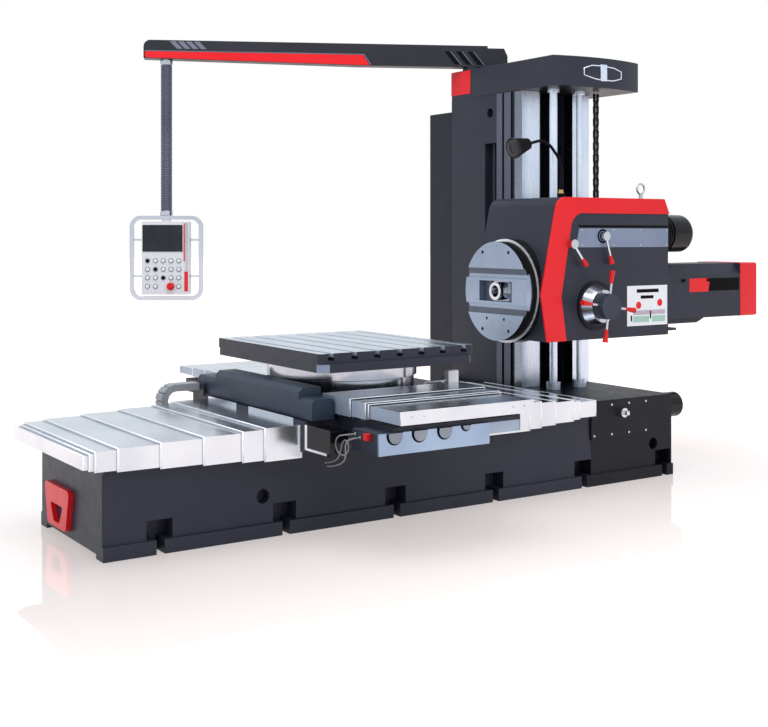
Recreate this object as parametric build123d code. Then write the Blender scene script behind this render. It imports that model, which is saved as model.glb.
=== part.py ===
from build123d import *
import math
import os

# Horizontal boring mill, in millimetres.
# The origin is the centre of the bed's underside. X runs along the bed towards the column,
# Y runs away from the operator and Z is up.

# Clearances
SEAT = 0.3
RUNNING = 0.05
CLEAR = 5.0

# Bed
BED_LENGTH = 3700.0
BED_WIDTH = 888.0
BED_FLANGE_HEIGHT = 70.0
BED_FLANGE_STEP = 15.0
BED_WALL_TOP = 400.0
RAIL_TOP = 490.0
RAIL_WIDTH = 210.0
HEAD_BLOCK_START = 1140.0
HEAD_BLOCK_TOP = 500.0
ANCHOR_COUNT = 6
ANCHOR_FIRST = 282.0
ANCHOR_PITCH = 668.0
ANCHOR_WIDTH = 130.0
ANCHOR_HEIGHT = 90.0
ANCHOR_DEPTH = 95.0
ANCHOR_SLOT = 40.0
CORE_HOLE_RADIUS = 35.0
CORE_HOLE_DEPTH = 60.0
CORE_HOLES = (-1022.0, 1689.0)
CORE_HOLE_HEIGHT = 204.0
FOOT_ARCH_HEIGHT = 22.0
FOOT_ARCH_WIDTH = 700.0
FOOT_ARCH_DEPTH = 110.0

# Fittings on the bed
LIFT_FRAME_TOP_WIDTH = 364.0
LIFT_FRAME_BOTTOM_WIDTH = 268.0
LIFT_FRAME_HEIGHT = 205.0
LIFT_FRAME_BOTTOM = 55.0
LIFT_FRAME_CENTRE_Y = 122.0
LIFT_FRAME_BAR = 92.0
LIFT_FRAME_THICKNESS = 28.0
LIFT_FRAME_CORNER = 26.0
LIFT_FRAME_WINDOW_LOW = 81.0
LIFT_FRAME_WINDOW_CORNER = 10.0
DOOR_LOW_X = 1162.0
DOOR_LENGTH = 472.0
DOOR_LOW_Z = 275.0
DOOR_HEIGHT = 221.0
DOOR_THICKNESS = 12.0
FEED_SHAFT_X = 1392.0
FEED_SHAFT_Z = 425.0
FEED_COLLAR_RADIUS = 28.0
FEED_COLLAR_LENGTH = 45.0
FEED_SQUARE = 24.0
FEED_SQUARE_LENGTH = 28.0
BED_MOTOR_Y = -343.0
BED_MOTOR_Z = 418.0
BED_MOTOR_RADIUS = 78.0
BED_MOTOR_LENGTH = 120.0
BED_MOTOR_CHAMFER = 8.0

# Column
COLUMN_LOW_X = 1240.0
COLUMN_WIDTH = 600.0
COLUMN_TOP = 2428.0
WAY_FRONT_Y = 303.0
WAY_DEPTH = 88.0
WAY_WIDTH = 149.0
WAY_INSET = 15.0
NECK_INSET = 14.0
NECK_BACK_Y = 496.0
NECK_CHAMFER = 34.0
COLUMN_BACK_Y = 1045.0
RECESS_START = 248.0
RECESS_WIDTH = 202.0
RECESS_DEPTH = 260.0
SIDE_SLOT_LOW_Z = 1000.0
SIDE_SLOT_TOP = 2102.0
SIDE_SLOT_FRONT_Y = 538.0
SIDE_SLOT_WIDTH = 133.0
SIDE_SLOT_DEPTH = 60.0
SIDE_ROD_RADIUS = 9.0
SIDE_HOLE_Y = 617.0
SIDE_HOLE_Z = 2304.0
SIDE_HOLE_RADIUS = 32.0
SIDE_HOLE_DEPTH = 40.0
GUARD_DEPTH = 259.0
GUARD_LOW_Z = 120.0
GUARD_TOP = 2345.0
CAP_HEIGHT = 191.0
CAP_FRONT_Y = -14.0
CAP_BOW = 58.0
CAP_WIDTH = 741.0

# Shafts and chain in front of the column
SHAFT_Y = 141.0
SCREW_X = 1379.0
SCREW_RADIUS = 25.0
GUIDE_X = 1602.0
GUIDE_RADIUS = 18.5
SHAFT_COLLAR_RADIUS = 46.0
SHAFT_COLLAR_HEIGHT = 50.0
SHAFT_TOP_NUT_RADIUS = 38.0
SHAFT_TOP_NUT_HEIGHT = 24.0
CHAIN_X = 1740.0
CHAIN_Y = 131.0
CHAIN_WIDTH = 36.0
CHAIN_THICKNESS = 22.0
CHAIN_WELL = 400.0
CHAIN_ROOM = 8.0

# Telescopic covers on the bed
COVER_SHEET = 2.5
COVER_STEP = 7.7
WIPER_GAP = 0.5
COVER_SKIRT_STEP = 6.5
COVER_RIM = 15.0
COVER_WALL = 3.0
BASE_SHEET = 4.0
SMALL_COVER_HALF = 505.0
SMALL_COVER_TOP = 508.0
SMALL_COVER_SKIRT = 444.5
LEFT_END_X = -1968.0
LEFT_FIXED_EXPOSED = (25.0, 24.0, 104.0)
LEFT_EXPOSED = (204.0, 212.0, 199.0, 116.0, 209.0)
LEFT_LENGTHS = (350.0, 340.0, 295.0, 217.0, 209.0)
LEFT_FIXED_LENGTH = 240.0
RIGHT_END_X = 1124.0
RIGHT_EXPOSED = (133.0, 55.0, 145.0, 112.0, 92.0, 292.0)
RIGHT_LENGTHS = (311.0, 296.0, 334.0, 315.0, 302.0, 292.0)
END_PLATE_TOP = 585.0
END_PLATE_Y = (-474.0, 500.0)
END_PLATE_NOTCH_Y = (10.0, 152.0)

# Saddle
SADDLE_LOW_X = -875.0
SADDLE_LENGTH = 1170.0
SADDLE_HALF_WIDTH = 582.0
APRON_LOW_Z = 425.0
SADDLE_TOP = 578.0
TABLE_CENTRE_X = -302.0
WING_HALF_X = 380.0
WING_HALF_Y = 1082.0
FAR_WING_Y = 1238.0
WING_LOW_Z = 520.0
WING_TOP = 600.0
GEARBOX_LOW_X = -776.0
GEARBOX_LENGTH = 649.0
GEARBOX_FRONT_Y = -1082.0
GEARBOX_BACK_Y = -864.0
GEARBOX_LOW_Z = 475.0
GEARBOX_TOP = 578.0
FRONT_PLATE_THICKNESS = 12.0
SHAFT_CAP_X = (-688.0, -546.0, -400.0)
SHAFT_CAP_RADIUS = 38.0
SHAFT_CAP_LENGTH = 22.0
SMALL_CAP_X = -272.0
SMALL_CAP_RADIUS = 25.0
SHAFT_CAP_Z = 565.0
SHAFT_CAP_GAP = 7.0
SMALL_CAP_Z = 580.0
MOTOR_BOX_LOW_X = -870.0
MOTOR_BOX_LENGTH = 130.0
MOTOR_BOX_LOW_Z = 440.0
MOTOR_BOX_HEIGHT = 110.0
MOTOR_BOX_DEPTH = 190.0
BRACKET_PLATE = 3.0
BRACKET_PLATE_DEPTH = 239.0
BRACKET_PLATE_TOP = 566.0
CONNECTOR_Y = -1012.0
CONNECTOR_Z = 540.0
CONNECTOR = (24.0, 34.0, 32.0)
GLAND_RADIUS = 7.0
GLAND_LENGTH = 14.0

# Oil hoses at the gearbox's left face
HOSE_RADIUS = 3.5
HOSE_ARC = 0.45
HOSE_1 = ((-790, -905, 556), (-822, -905, 556), (-840, -876, 552), (-840, -838, 540), (-834, -806, 514),
          (-828, -798, 478), (-820, -820, 450), (-812, -852, 448), (-804, -876, 472), (-799, -870, 506),
          (-797, -838, 522), (-797, -806, 502), (-799, -796, 464), (-800, -780, 426), (-802, -745, 405),
          (-805, -705, 392), (-808, -666, 384))
HOSE_2 = ((-790, -950, 545), (-822, -950, 545), (-838, -922, 534), (-836, -898, 508), (-828, -888, 472),
          (-818, -870, 438), (-812, -838, 414), (-808, -800, 398), (-806, -762, 386), (-808, -724, 377),
          (-810, -690, 371))

CHAIN_LOOP_OUTER = 92.0
CHAIN_LOOP_INNER = 52.0
CHAIN_LOOP_LEG = 140.0
LINK_LENGTH = 42.0
LINK_CORNER = 8.0
LEG_LINKS = 4
BEND_LINKS = 6
CHAIN_LOOP_WIDTH = 90.0
CHAIN_LOOP_Y = 634.0
CHAIN_LOOP_Z = 552.0
CHAIN_LOOP_END_X = -870.0
BRACKET_SHEET = 15.0

# Covers over the cross ways
CROSS_COVER_HALF = 396.5
CROSS_COVER_TOP = 680.0
CROSS_COVER_SKIRT = 61.0
CROSS_COVER_STEP = 6.0
NEAR_COVER_END = 1164.0
FAR_COVER_END = 1320.0
FAR_COVER_LEVEL = -2
NEAR_EXPOSED = (263.0, 19.0, 128.0, 267.0)
NEAR_LENGTHS = (338.0, 148.0, 254.0, 267.0)
FAR_EXPOSED = (205.0, 186.0, 442.0)
FAR_LENGTHS = (385.0, 356.0, 442.0)

# Cross slide and rotary table
SLIDE_LOW_X = -714.0
SLIDE_HIGH_X = 246.0
SLIDE_HALF_Y = 487.0
SLIDE_TOP = 655.0
BEAM_LOW_X = -850.0
BEAM_WIDTH = 128.0
BEAM_LOW_Y = -612.0
BEAM_HIGH_Y = 690.0
BEAM_LOW_Z = 583.0
BEAM_TOP = 731.0
BEAM_CHAMFER = 24.0
BEAM_MAIN_LOW_Y = -480.0
BEAM_MAIN_HIGH_Y = 465.0
BEAM_HOUSING_TOP = 687.0
BEAM_HOUSING_CORNER = 22.0
SWITCH_BOX = (70.0, 40.0, 100.0)
SWITCH_BOX_X = 101.0
SWITCH_BOX_Y = -430.0
SWITCH_BOX_CORNER = 4.0
SWITCH_LEAD_RADIUS = 4.0
SWITCH_LEAD_HEIGHT = 45.0
SWITCH_LEAD_LENGTH = 150.0
SWITCH_LEAD_BEND = 20.0
LOWER_RING_RADIUS = 400.0
LOWER_RING_TOP = 728.0
UPPER_RING_RADIUS = 415.0
TABLE_LENGTH_X = 966.0
TABLE_LENGTH_Y = 1142.0
TABLE_LOW_Z = 808.0
TABLE_TOP = 904.0
TABLE_SKIRT_HEIGHT = 42.0
TABLE_SKIRT_REACH = 22.0
TABLE_CORNER = 48.0
TABLE_TOP_CORNER = 14.0
T_SLOT_COUNT = 7
T_SLOT_PITCH = 138.0
T_SLOT_NECK = 22.0
T_SLOT_NECK_DEPTH = 22.0
T_SLOT_HEAD = 38.0
T_SLOT_HEAD_HEIGHT = 17.0

# Headstock
SPINDLE_Z = 1151.0
HEADSTOCK_FRONT_Y = -317.0
HEADSTOCK_LOW_Z = 858.0
HEADSTOCK_TOP = 1718.0
HEADSTOCK_HIGH_X = 1940.0
HEADSTOCK_CORNER = 80.0
HEADSTOCK_LOW_X = 913.0
HEADSTOCK_NOSE_X = 866.0
HEADSTOCK_NOSE_Z = 1140.0
HEADSTOCK_TOP_X = 997.0
HEADSTOCK_BEVEL_X = 42.0
HEADSTOCK_BEVEL_Z = 92.0
BAND_THICKNESS = 12.0
BAND_LOW_WIDTH = 156.0
BAND_NOSE_WIDTH = 162.0
BAND_NOSE_DROP = 14.0
BAND_TOP_HEIGHT = 96.0
BAND_INNER_CORNER_X = 1121.0
BAND_INNER_RADIUS = 95.0
KEEPER_HEIGHT = 90.0
KEEPER_WIDTH = 60.0
KEEPER_DEPTH = 59.0
FACE_RING_RADIUS = 316.0
FACE_RING_X = 862.0
FACE_RING_DEPTH = 118.0
LABEL_LOW_X = 1576.0
LABEL_WIDTH = 352.0
LABEL_LOW_Z = 924.0
LABEL_HEIGHT = 250.0
LABEL_THICKNESS = 3.0
REAR_MOTOR_Z = 1500.0
REAR_MOTOR_Y = -144.0
REAR_MOTOR_RADIUS = 122.0
REAR_MOTOR_LENGTH = 310.0
REAR_MOTOR_FIN_COUNT = 6
REAR_MOTOR_FIN_PITCH = 18.0
REAR_MOTOR_FIN = 8.0
REAR_MOTOR_FIN_DEPTH = 14.0
REAR_MOTOR_FLANGE = 16.0
REAR_MOTOR_END_RADIUS = 42.0
TAIL_HALF_Y = 194.0
TAIL_LOW_Z = 940.0
TAIL_TOP = 1298.0
TAIL_LENGTH = 826.0
TAIL_CAP_LENGTH = 177.0
TAIL_BEVEL_Y = 54.0
TAIL_BEVEL_Z = 74.0
TAIL_CAP_GROW = 3.0
TAIL_CAP_CORNER = 16.0
TRAY_LENGTH = 508.0
TRAY_SLOPE = 77.0
TRAY_DEPTH = 33.0
TRAY_HALF_Y = 165.0
SHELF_LENGTH = 205.0
SHELF_LOW_Z = 868.0
SHELF_THICKNESS = 16.0
SHELF_WIDTH = 90.0
KNOB_X = (2209.0, 2448.0)
KNOB_Z = 1190.0
KNOB_RADIUS = 11.0
KNOB_LENGTH = 14.0
LAMP_Y = -144.0
LAMP_X = 1188.0
LAMP_BASE_RADIUS = 24.0
LAMP_BASE_HEIGHT = 28.0
LAMP_NECK_RADIUS = 9.0
LAMP_NECK_TURNS = ((6.0, 161.0, 110.0), (-19.0, 247.0, 110.0),
                   (-85.0, 317.0, 90.0), (-158.0, 348.0, 90.0))
LAMP_HEAD_X = -263.0
LAMP_HEAD_Z = 322.0
LAMP_HEAD_RADII = (34.0, 62.0)
LAMP_HEAD_LENGTH = 120.0
LAMP_HEAD_TURN = -105.0
EYE_X = 1872.0
EYE_STEM_RADIUS = 14.0
EYE_STEM_HEIGHT = 36.0
EYE_RING_RADIUS = 32.0
EYE_BAR_RADIUS = 7.0

# Facing head and spindle
HEAD_FRONT_X = 788.0
HEAD_RADIUS = 300.0
HEAD_BORE_RADIUS = 100.0
SLIDE_FACE_HEIGHT = 158.0
SLIDE_DEPTH = 38.0
DOVETAIL_LEAN = 8.0
SLIDE_FACE_DEPTH = 18.0
WAY_HALF_HEIGHT = 104.0
GIB_DEPTH = 12.0
SEGMENT_START_Z = 138.0
HEAD_RIM = 5.0
WINDOW_LENGTH = 312.0
WINDOW_HEIGHT = 124.0
FACE_BOLT_RADIUS = 11.0
FACE_BOLT_DEPTH = 30.0
FACE_BOLTS = ((124.0, 235.0), (124.0, -235.0))
FACE_TAP = (82.0, -167.0)
FACE_TAP_RADIUS = 9.0
SLEEVE_RADIUS = 90.0
SLEEVE_LENGTH = 264.0
SPINDLE_RADIUS = 55.0
SPINDLE_LENGTH = 1656.0
SPINDLE_NOSE_X = 784.0
TAPER_MOUTH_RADIUS = 34.9
TAPER_DEPTH = 102.0
TAPER_RATIO = 7 / 24

# Handwheel and levers
WHEEL_X = 1310.0
WHEEL_Z = 1062.0
WHEEL_FLANGE_RADIUS = 148.0
WHEEL_FLANGE_LENGTH = 14.0
WHEEL_DIAL_RADII = (128.0, 98.0)
WHEEL_DIAL_LENGTH = 62.0
WHEEL_HUB_RADIUS = 78.0
WHEEL_HUB_LENGTH = 68.0
SPOKE_COUNT = 4
SPOKE_ANGLE = 8.0
SPOKE_BACK = 28.0
SPOKE_START = 50.0
SPOKE_RADIUS = 8.0
SPOKE_REACH = 216.0
GRIP_RADII = (10.0, 17.0)
GRIP_LENGTH = 78.0
LEVER_A = (1098.0, 1437.0, 164.0, -52.0)
LEVER_B = (1370.0, 1484.0, 176.0, -73.0)
LEVER_HUB_RADIUS = 28.0
LEVER_HUB_LENGTH = 40.0
LEVER_GRIP_LENGTH = 52.0
LEVER_ARM_BACK = 12.0

# Pendant arm
ARM_PIVOT_X = 1325.0
ARM_PIVOT_Y = 931.0
ARM_ANGLE = 153.3
ARM_LOW_Z = 2645.0
ARM_ROOT_HEIGHT = 149.0
ARM_TIP_HEIGHT = 122.0
ARM_REACH = 2085.0
ARM_BEYOND_TUBE = 149.0
ARM_BACK = 105.0
ARM_BLOCK_BACK = 220.0
ARM_BLOCK_DROP = 16.0
ARM_REAR = 245.0
ARM_REAR_DROP = 68.0
ARM_SLOPE_START = 0.35
ARM_TIP_CORNER = 46.0
ARM_BORE_ROOF = 30.0
TUBE_SOCKET = 4.0
ARM_WIDTH = 110.0
ARM_POST_RADIUS = 60.0
TRIM_LENGTH = 1320.0
TRIM_HEIGHT = 30.0
TRIM_THICKNESS = 4.0
TRIM_SLANT = 120.0
TRIM_RAISE = 8.0
TRIM_END_GAP = 20.0
TUBE_RADIUS = 35.0
TUBE_COLLAR_RADIUS = 43.0
TUBE_COLLAR_HEIGHT = 30.0
TUBE_COLLAR_DROP = 14.0
PIN_RADIUS = 15.0
PIN_LENGTH = 60.0
PENDANT_TOP = 1621.0
PENDANT_TURN = -33.6
BUMPER_WIDTH = 493.0
BUMPER_HEIGHT = 572.0
BUMPER_TUBE = 14.0
BUMPER_CORNER = 80.0
PANEL_WIDTH = 317.0
PANEL_HEIGHT = 491.0
PANEL_DEPTH = 90.0
PANEL_CORNER = 12.0
BRACE_HALF = 8.0
NECK_RADIUS = 30.0

BED_HALF = BED_LENGTH / 2
WALL_HALF = BED_WIDTH / 2 - BED_FLANGE_STEP
WAY_BACK_Y = WAY_FRONT_Y + WAY_DEPTH
COLUMN_HIGH_X = COLUMN_LOW_X + COLUMN_WIDTH
SADDLE_HIGH_X = SADDLE_LOW_X + SADDLE_LENGTH
SADDLE_LOW_Z = RAIL_TOP + SEAT
HEADSTOCK_BACK_Y = WAY_FRONT_Y - SEAT
ARM_END = ARM_REACH + ARM_BEYOND_TUBE
SLEEVE_X = HEAD_FRONT_X + SLIDE_DEPTH + 2 * CLEAR


def block(x0, x1, y0, y1, z0, z1):
    """A box given by its low and high faces."""
    return Pos(x0, y0, z0) * Box(x1 - x0, y1 - y0, z1 - z0, align=(Align.MIN,) * 3)


def bar_x(x0, x1, y, z, radius):
    """A round bar along X."""
    return Pos(x0, y, z) * Rot(0, 90, 0) * Cylinder(
        radius, x1 - x0, align=(Align.CENTER, Align.CENTER, Align.MIN))


def bar_y(x, y0, y1, z, radius):
    """A round bar along Y."""
    return Pos(x, y0, z) * Rot(-90, 0, 0) * Cylinder(
        radius, y1 - y0, align=(Align.CENTER, Align.CENTER, Align.MIN))


def bar_z(x, y, z0, z1, radius):
    """A round bar along Z."""
    return Pos(x, y, z0) * Cylinder(radius, z1 - z0, align=(Align.CENTER, Align.CENTER, Align.MIN))


def slab_y(points, y0, y1, corner_radius=0.0, corner=None):
    """An outline in X and Z, extruded along Y, with one corner rounded where asked."""
    outline = Polyline(*[(x, z) for x, z in points], close=True)
    face = make_face(outline)
    if corner_radius:
        vertex = min(face.vertices(), key=lambda v: (Vector(v.X, v.Y) - Vector(*corner)).length)
        face = fillet(vertex, corner_radius)
    return Pos(0, y1, 0) * Rot(90, 0, 0) * extrude(face, y1 - y0)


def bed():
    """Cast bed with its two rails, the column's head block and the anchor pockets."""
    half = BED_WIDTH / 2
    body = block(-BED_HALF, BED_HALF, -WALL_HALF, WALL_HALF, 0, BED_WALL_TOP)
    body += block(-BED_HALF, BED_HALF, -half, half, 0, BED_FLANGE_HEIGHT)
    body += block(HEAD_BLOCK_START, BED_HALF, -WALL_HALF, COLUMN_BACK_Y, 0, HEAD_BLOCK_TOP)
    for side in (-1, 1):
        low, high = sorted((side * half, side * (half - RAIL_WIDTH)))
        body += block(-BED_HALF, HEAD_BLOCK_START, low, high, BED_WALL_TOP, RAIL_TOP)
    for index in range(ANCHOR_COUNT):
        x = -BED_HALF + ANCHOR_FIRST + index * ANCHOR_PITCH
        for side in (-1, 1):
            if side > 0 and x > HEAD_BLOCK_START - ANCHOR_WIDTH:
                continue
            low, high = sorted((side * half, side * (WALL_HALF - ANCHOR_DEPTH)))
            body -= block(x - ANCHOR_WIDTH / 2, x + ANCHOR_WIDTH / 2, low, high,
                          BED_FLANGE_HEIGHT, BED_FLANGE_HEIGHT + ANCHOR_HEIGHT)
            body -= block(x - ANCHOR_SLOT / 2, x + ANCHOR_SLOT / 2, low, high, 0, BED_FLANGE_HEIGHT)
    for x in CORE_HOLES:
        body -= bar_y(x, -WALL_HALF, -WALL_HALF + CORE_HOLE_DEPTH, CORE_HOLE_HEIGHT, CORE_HOLE_RADIUS)
    body -= block(-BED_HALF, -BED_HALF + FOOT_ARCH_DEPTH, -FOOT_ARCH_WIDTH / 2, FOOT_ARCH_WIDTH / 2,
                  0, FOOT_ARCH_HEIGHT)
    return body


def lifting_frame():
    """Tapered ring plate on the bed's left end."""
    low, top = LIFT_FRAME_BOTTOM, LIFT_FRAME_BOTTOM + LIFT_FRAME_HEIGHT
    wide, narrow = LIFT_FRAME_TOP_WIDTH / 2, LIFT_FRAME_BOTTOM_WIDTH / 2
    outer = make_face(Polyline((-narrow, low), (narrow, low), (wide, top), (-wide, top), close=True))
    outer = fillet(outer.vertices(), LIFT_FRAME_CORNER)
    window_low, window_top = LIFT_FRAME_WINDOW_LOW, top - LIFT_FRAME_BAR
    wide, narrow = wide - LIFT_FRAME_BAR, narrow - LIFT_FRAME_BAR
    window = make_face(Polyline((-narrow, window_low), (narrow, window_low), (wide, window_top),
                                (-wide, window_top), close=True))
    window = fillet(window.vertices(), LIFT_FRAME_WINDOW_CORNER)
    ring = extrude(outer - window, LIFT_FRAME_THICKNESS)
    return Pos(-BED_HALF, LIFT_FRAME_CENTRE_Y, 0) * Rot(0, 0, -90) * Rot(90, 0, 0) * ring


def feed_door():
    """Cover plate over the feed gears at the bed's near right."""
    return block(DOOR_LOW_X, DOOR_LOW_X + DOOR_LENGTH, -WALL_HALF - DOOR_THICKNESS, -WALL_HALF,
                 DOOR_LOW_Z, DOOR_LOW_Z + DOOR_HEIGHT)


def feed_shaft_end():
    """Hand feed shaft's collar and square end."""
    y = -WALL_HALF - DOOR_THICKNESS
    collar = bar_y(FEED_SHAFT_X, y - FEED_COLLAR_LENGTH, y, FEED_SHAFT_Z, FEED_COLLAR_RADIUS)
    half = FEED_SQUARE / 2
    square = block(FEED_SHAFT_X - half, FEED_SHAFT_X + half, y - FEED_COLLAR_LENGTH - FEED_SQUARE_LENGTH,
                   y - FEED_COLLAR_LENGTH, FEED_SHAFT_Z - half, FEED_SHAFT_Z + half)
    return collar + square


def bed_motor():
    """Round feed motor on the bed's right end."""
    body = bar_x(BED_HALF, BED_HALF + BED_MOTOR_LENGTH, BED_MOTOR_Y, BED_MOTOR_Z, BED_MOTOR_RADIUS)
    return chamfer(body.edges().sort_by(Axis.X)[-1], BED_MOTOR_CHAMFER)


def column():
    """Box column with a narrower neck at its ways, a deep recess and a slot in its left side."""
    body = block(COLUMN_LOW_X, COLUMN_HIGH_X, WAY_BACK_Y, COLUMN_BACK_Y, HEAD_BLOCK_TOP, COLUMN_TOP)
    neck = make_face(Polyline((COLUMN_LOW_X, WAY_BACK_Y), (COLUMN_LOW_X + NECK_INSET, WAY_BACK_Y),
                              (COLUMN_LOW_X + NECK_INSET, NECK_BACK_Y),
                              (COLUMN_LOW_X, NECK_BACK_Y + NECK_CHAMFER), close=True))
    body -= Pos(0, 0, HEAD_BLOCK_TOP) * extrude(neck, COLUMN_TOP - HEAD_BLOCK_TOP)
    recess_x = COLUMN_LOW_X + RECESS_START
    body -= block(recess_x, recess_x + RECESS_WIDTH, WAY_BACK_Y, WAY_BACK_Y + RECESS_DEPTH,
                  HEAD_BLOCK_TOP, COLUMN_TOP)
    slot_back_y = SIDE_SLOT_FRONT_Y + SIDE_SLOT_WIDTH
    body -= block(COLUMN_LOW_X, COLUMN_LOW_X + SIDE_SLOT_DEPTH, SIDE_SLOT_FRONT_Y, slot_back_y,
                  SIDE_SLOT_LOW_Z, SIDE_SLOT_TOP)
    body += bar_z(COLUMN_LOW_X + SIDE_SLOT_DEPTH / 2, (SIDE_SLOT_FRONT_Y + slot_back_y) / 2,
                  SIDE_SLOT_LOW_Z, SIDE_SLOT_TOP, SIDE_ROD_RADIUS)
    body -= bar_x(COLUMN_LOW_X, COLUMN_LOW_X + SIDE_HOLE_DEPTH, SIDE_HOLE_Y, SIDE_HOLE_Z, SIDE_HOLE_RADIUS)
    return body


def way_spans():
    """The low and high X of the left and the right way."""
    left = COLUMN_LOW_X + WAY_INSET
    right = COLUMN_HIGH_X
    return ((left, left + WAY_WIDTH), (right - WAY_WIDTH, right))


def column_ways():
    """Two ground ways on the column's front."""
    return Compound([block(low, high, WAY_FRONT_Y, WAY_BACK_Y, HEAD_BLOCK_TOP, COLUMN_TOP)
                     for low, high in way_spans()])


def column_cap():
    """Bow-fronted head casting over the column, with the arm's post."""
    x0, x1 = COLUMN_LOW_X, COLUMN_LOW_X + CAP_WIDTH
    middle = (x0 + x1) / 2
    outline = Curve() + [Line((x0, CAP_FRONT_Y), (x0, COLUMN_BACK_Y)),
                         Line((x0, COLUMN_BACK_Y), (x1, COLUMN_BACK_Y)),
                         Line((x1, COLUMN_BACK_Y), (x1, CAP_FRONT_Y)),
                         ThreePointArc((x1, CAP_FRONT_Y), (middle, CAP_FRONT_Y - CAP_BOW), (x0, CAP_FRONT_Y))]
    body = Pos(0, 0, COLUMN_TOP) * extrude(make_face(outline), CAP_HEIGHT)
    top = COLUMN_TOP + CAP_HEIGHT
    return body + bar_z(ARM_PIVOT_X, ARM_PIVOT_Y, top, ARM_LOW_Z - SEAT, ARM_POST_RADIUS)


def counterweight_guard():
    """Sheet housing of the counterweight, behind the column."""
    return block(COLUMN_LOW_X, COLUMN_HIGH_X, COLUMN_BACK_Y, COLUMN_BACK_Y + GUARD_DEPTH,
                 GUARD_LOW_Z, GUARD_TOP)


def lift_shafts():
    """Elevating screw and guide shaft, each with its collar on the bed and its nut under the cap."""
    shafts = []
    for x, radius in ((SCREW_X, SCREW_RADIUS), (GUIDE_X, GUIDE_RADIUS)):
        shaft = bar_z(x, SHAFT_Y, HEAD_BLOCK_TOP, COLUMN_TOP, radius)
        shaft += bar_z(x, SHAFT_Y, HEAD_BLOCK_TOP, HEAD_BLOCK_TOP + SHAFT_COLLAR_HEIGHT, SHAFT_COLLAR_RADIUS)
        shaft += bar_z(x, SHAFT_Y, COLUMN_TOP - SHAFT_TOP_NUT_HEIGHT, COLUMN_TOP, SHAFT_TOP_NUT_RADIUS)
        shafts.append(shaft)
    return Compound(shafts)


def headstock_chain():
    """Counterweight chain from the cap down into the headstock's well."""
    return block(CHAIN_X - CHAIN_WIDTH / 2, CHAIN_X + CHAIN_WIDTH / 2,
                 CHAIN_Y - CHAIN_THICKNESS / 2, CHAIN_Y + CHAIN_THICKNESS / 2,
                 HEADSTOCK_TOP - CHAIN_WELL + CLEAR, COLUMN_TOP)


def channel(x0, x1, half, top, skirt_low, sheet):
    """An inverted U over the bed: a top plate with two side skirts."""
    outer = block(x0, x1, -half, half, skirt_low, top)
    return outer - block(x0, x1, -half + sheet, half - sheet, skirt_low, top - sheet)


def bed_cover(x0, x1, level, open_low, wall_low=SADDLE_LOW_Z, wall=True):
    """One telescopic section; level 0 is the smallest and open_low tells which end shows."""
    half = SMALL_COVER_HALF + level * COVER_STEP
    top = SMALL_COVER_TOP + level * COVER_STEP
    skirt = SMALL_COVER_SKIRT - level * COVER_SKIRT_STEP
    body = channel(x0, x1, half, top, skirt, COVER_SHEET)
    rim_sheet = COVER_STEP - WIPER_GAP
    if open_low:
        body += channel(x0, x0 + COVER_RIM, half, top, skirt, rim_sheet)
        wall_x = (x1 - COVER_WALL, x1)
    else:
        body += channel(x1 - COVER_RIM, x1, half, top, skirt, rim_sheet)
        wall_x = (x0, x0 + COVER_WALL)
    if wall:
        body += block(wall_x[0], wall_x[1], -half, half, wall_low, top)
    return body


def left_covers():
    """The fixed stepped end and the five sections up to the saddle."""
    start = LEFT_END_X
    fixed_end = LEFT_END_X + LEFT_FIXED_LENGTH
    pieces = []
    body = None
    for level, exposed in enumerate(LEFT_FIXED_EXPOSED):
        step = bed_cover(start, fixed_end, level, True, RAIL_TOP, level == 2)
        body = step if body is None else body + step
        start += exposed
    half = SMALL_COVER_HALF
    body += block(LEFT_END_X, LEFT_END_X + COVER_WALL, -half, half, SMALL_COVER_SKIRT, SMALL_COVER_TOP)
    body += block(-BED_HALF, fixed_end, -BED_WIDTH / 2, BED_WIDTH / 2, RAIL_TOP, RAIL_TOP + BASE_SHEET)
    pieces.append(body)
    for index, (exposed, length) in enumerate(zip(LEFT_EXPOSED, LEFT_LENGTHS)):
        pieces.append(bed_cover(start, start + length, index + 3, True))
        start += exposed
    level = len(LEFT_FIXED_EXPOSED) + len(LEFT_EXPOSED) - 1
    pieces[-1] += end_plate(SMALL_COVER_TOP + level * COVER_STEP)
    return pieces


def right_covers():
    """The sections from the fixed one at the column back to the saddle."""
    end = RIGHT_END_X
    pieces = []
    for index, (exposed, length) in enumerate(zip(RIGHT_EXPOSED, RIGHT_LENGTHS)):
        low = RAIL_TOP if index == 0 else SADDLE_LOW_Z
        pieces.append(bed_cover(end - length, end, index + 2, False, low))
        end -= exposed
    return pieces[::-1]


def end_plate(cover_top):
    """Raised upright plate on the left covers' end at the saddle, notched for the slide's dog."""
    x0, x1 = SADDLE_LOW_X - COVER_WALL, SADDLE_LOW_X
    low_y, high_y = END_PLATE_Y
    notch_low, notch_high = END_PLATE_NOTCH_Y
    return (block(x0, x1, low_y, notch_low, cover_top, END_PLATE_TOP)
            + block(x0, x1, notch_high, high_y, cover_top, END_PLATE_TOP))


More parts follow.
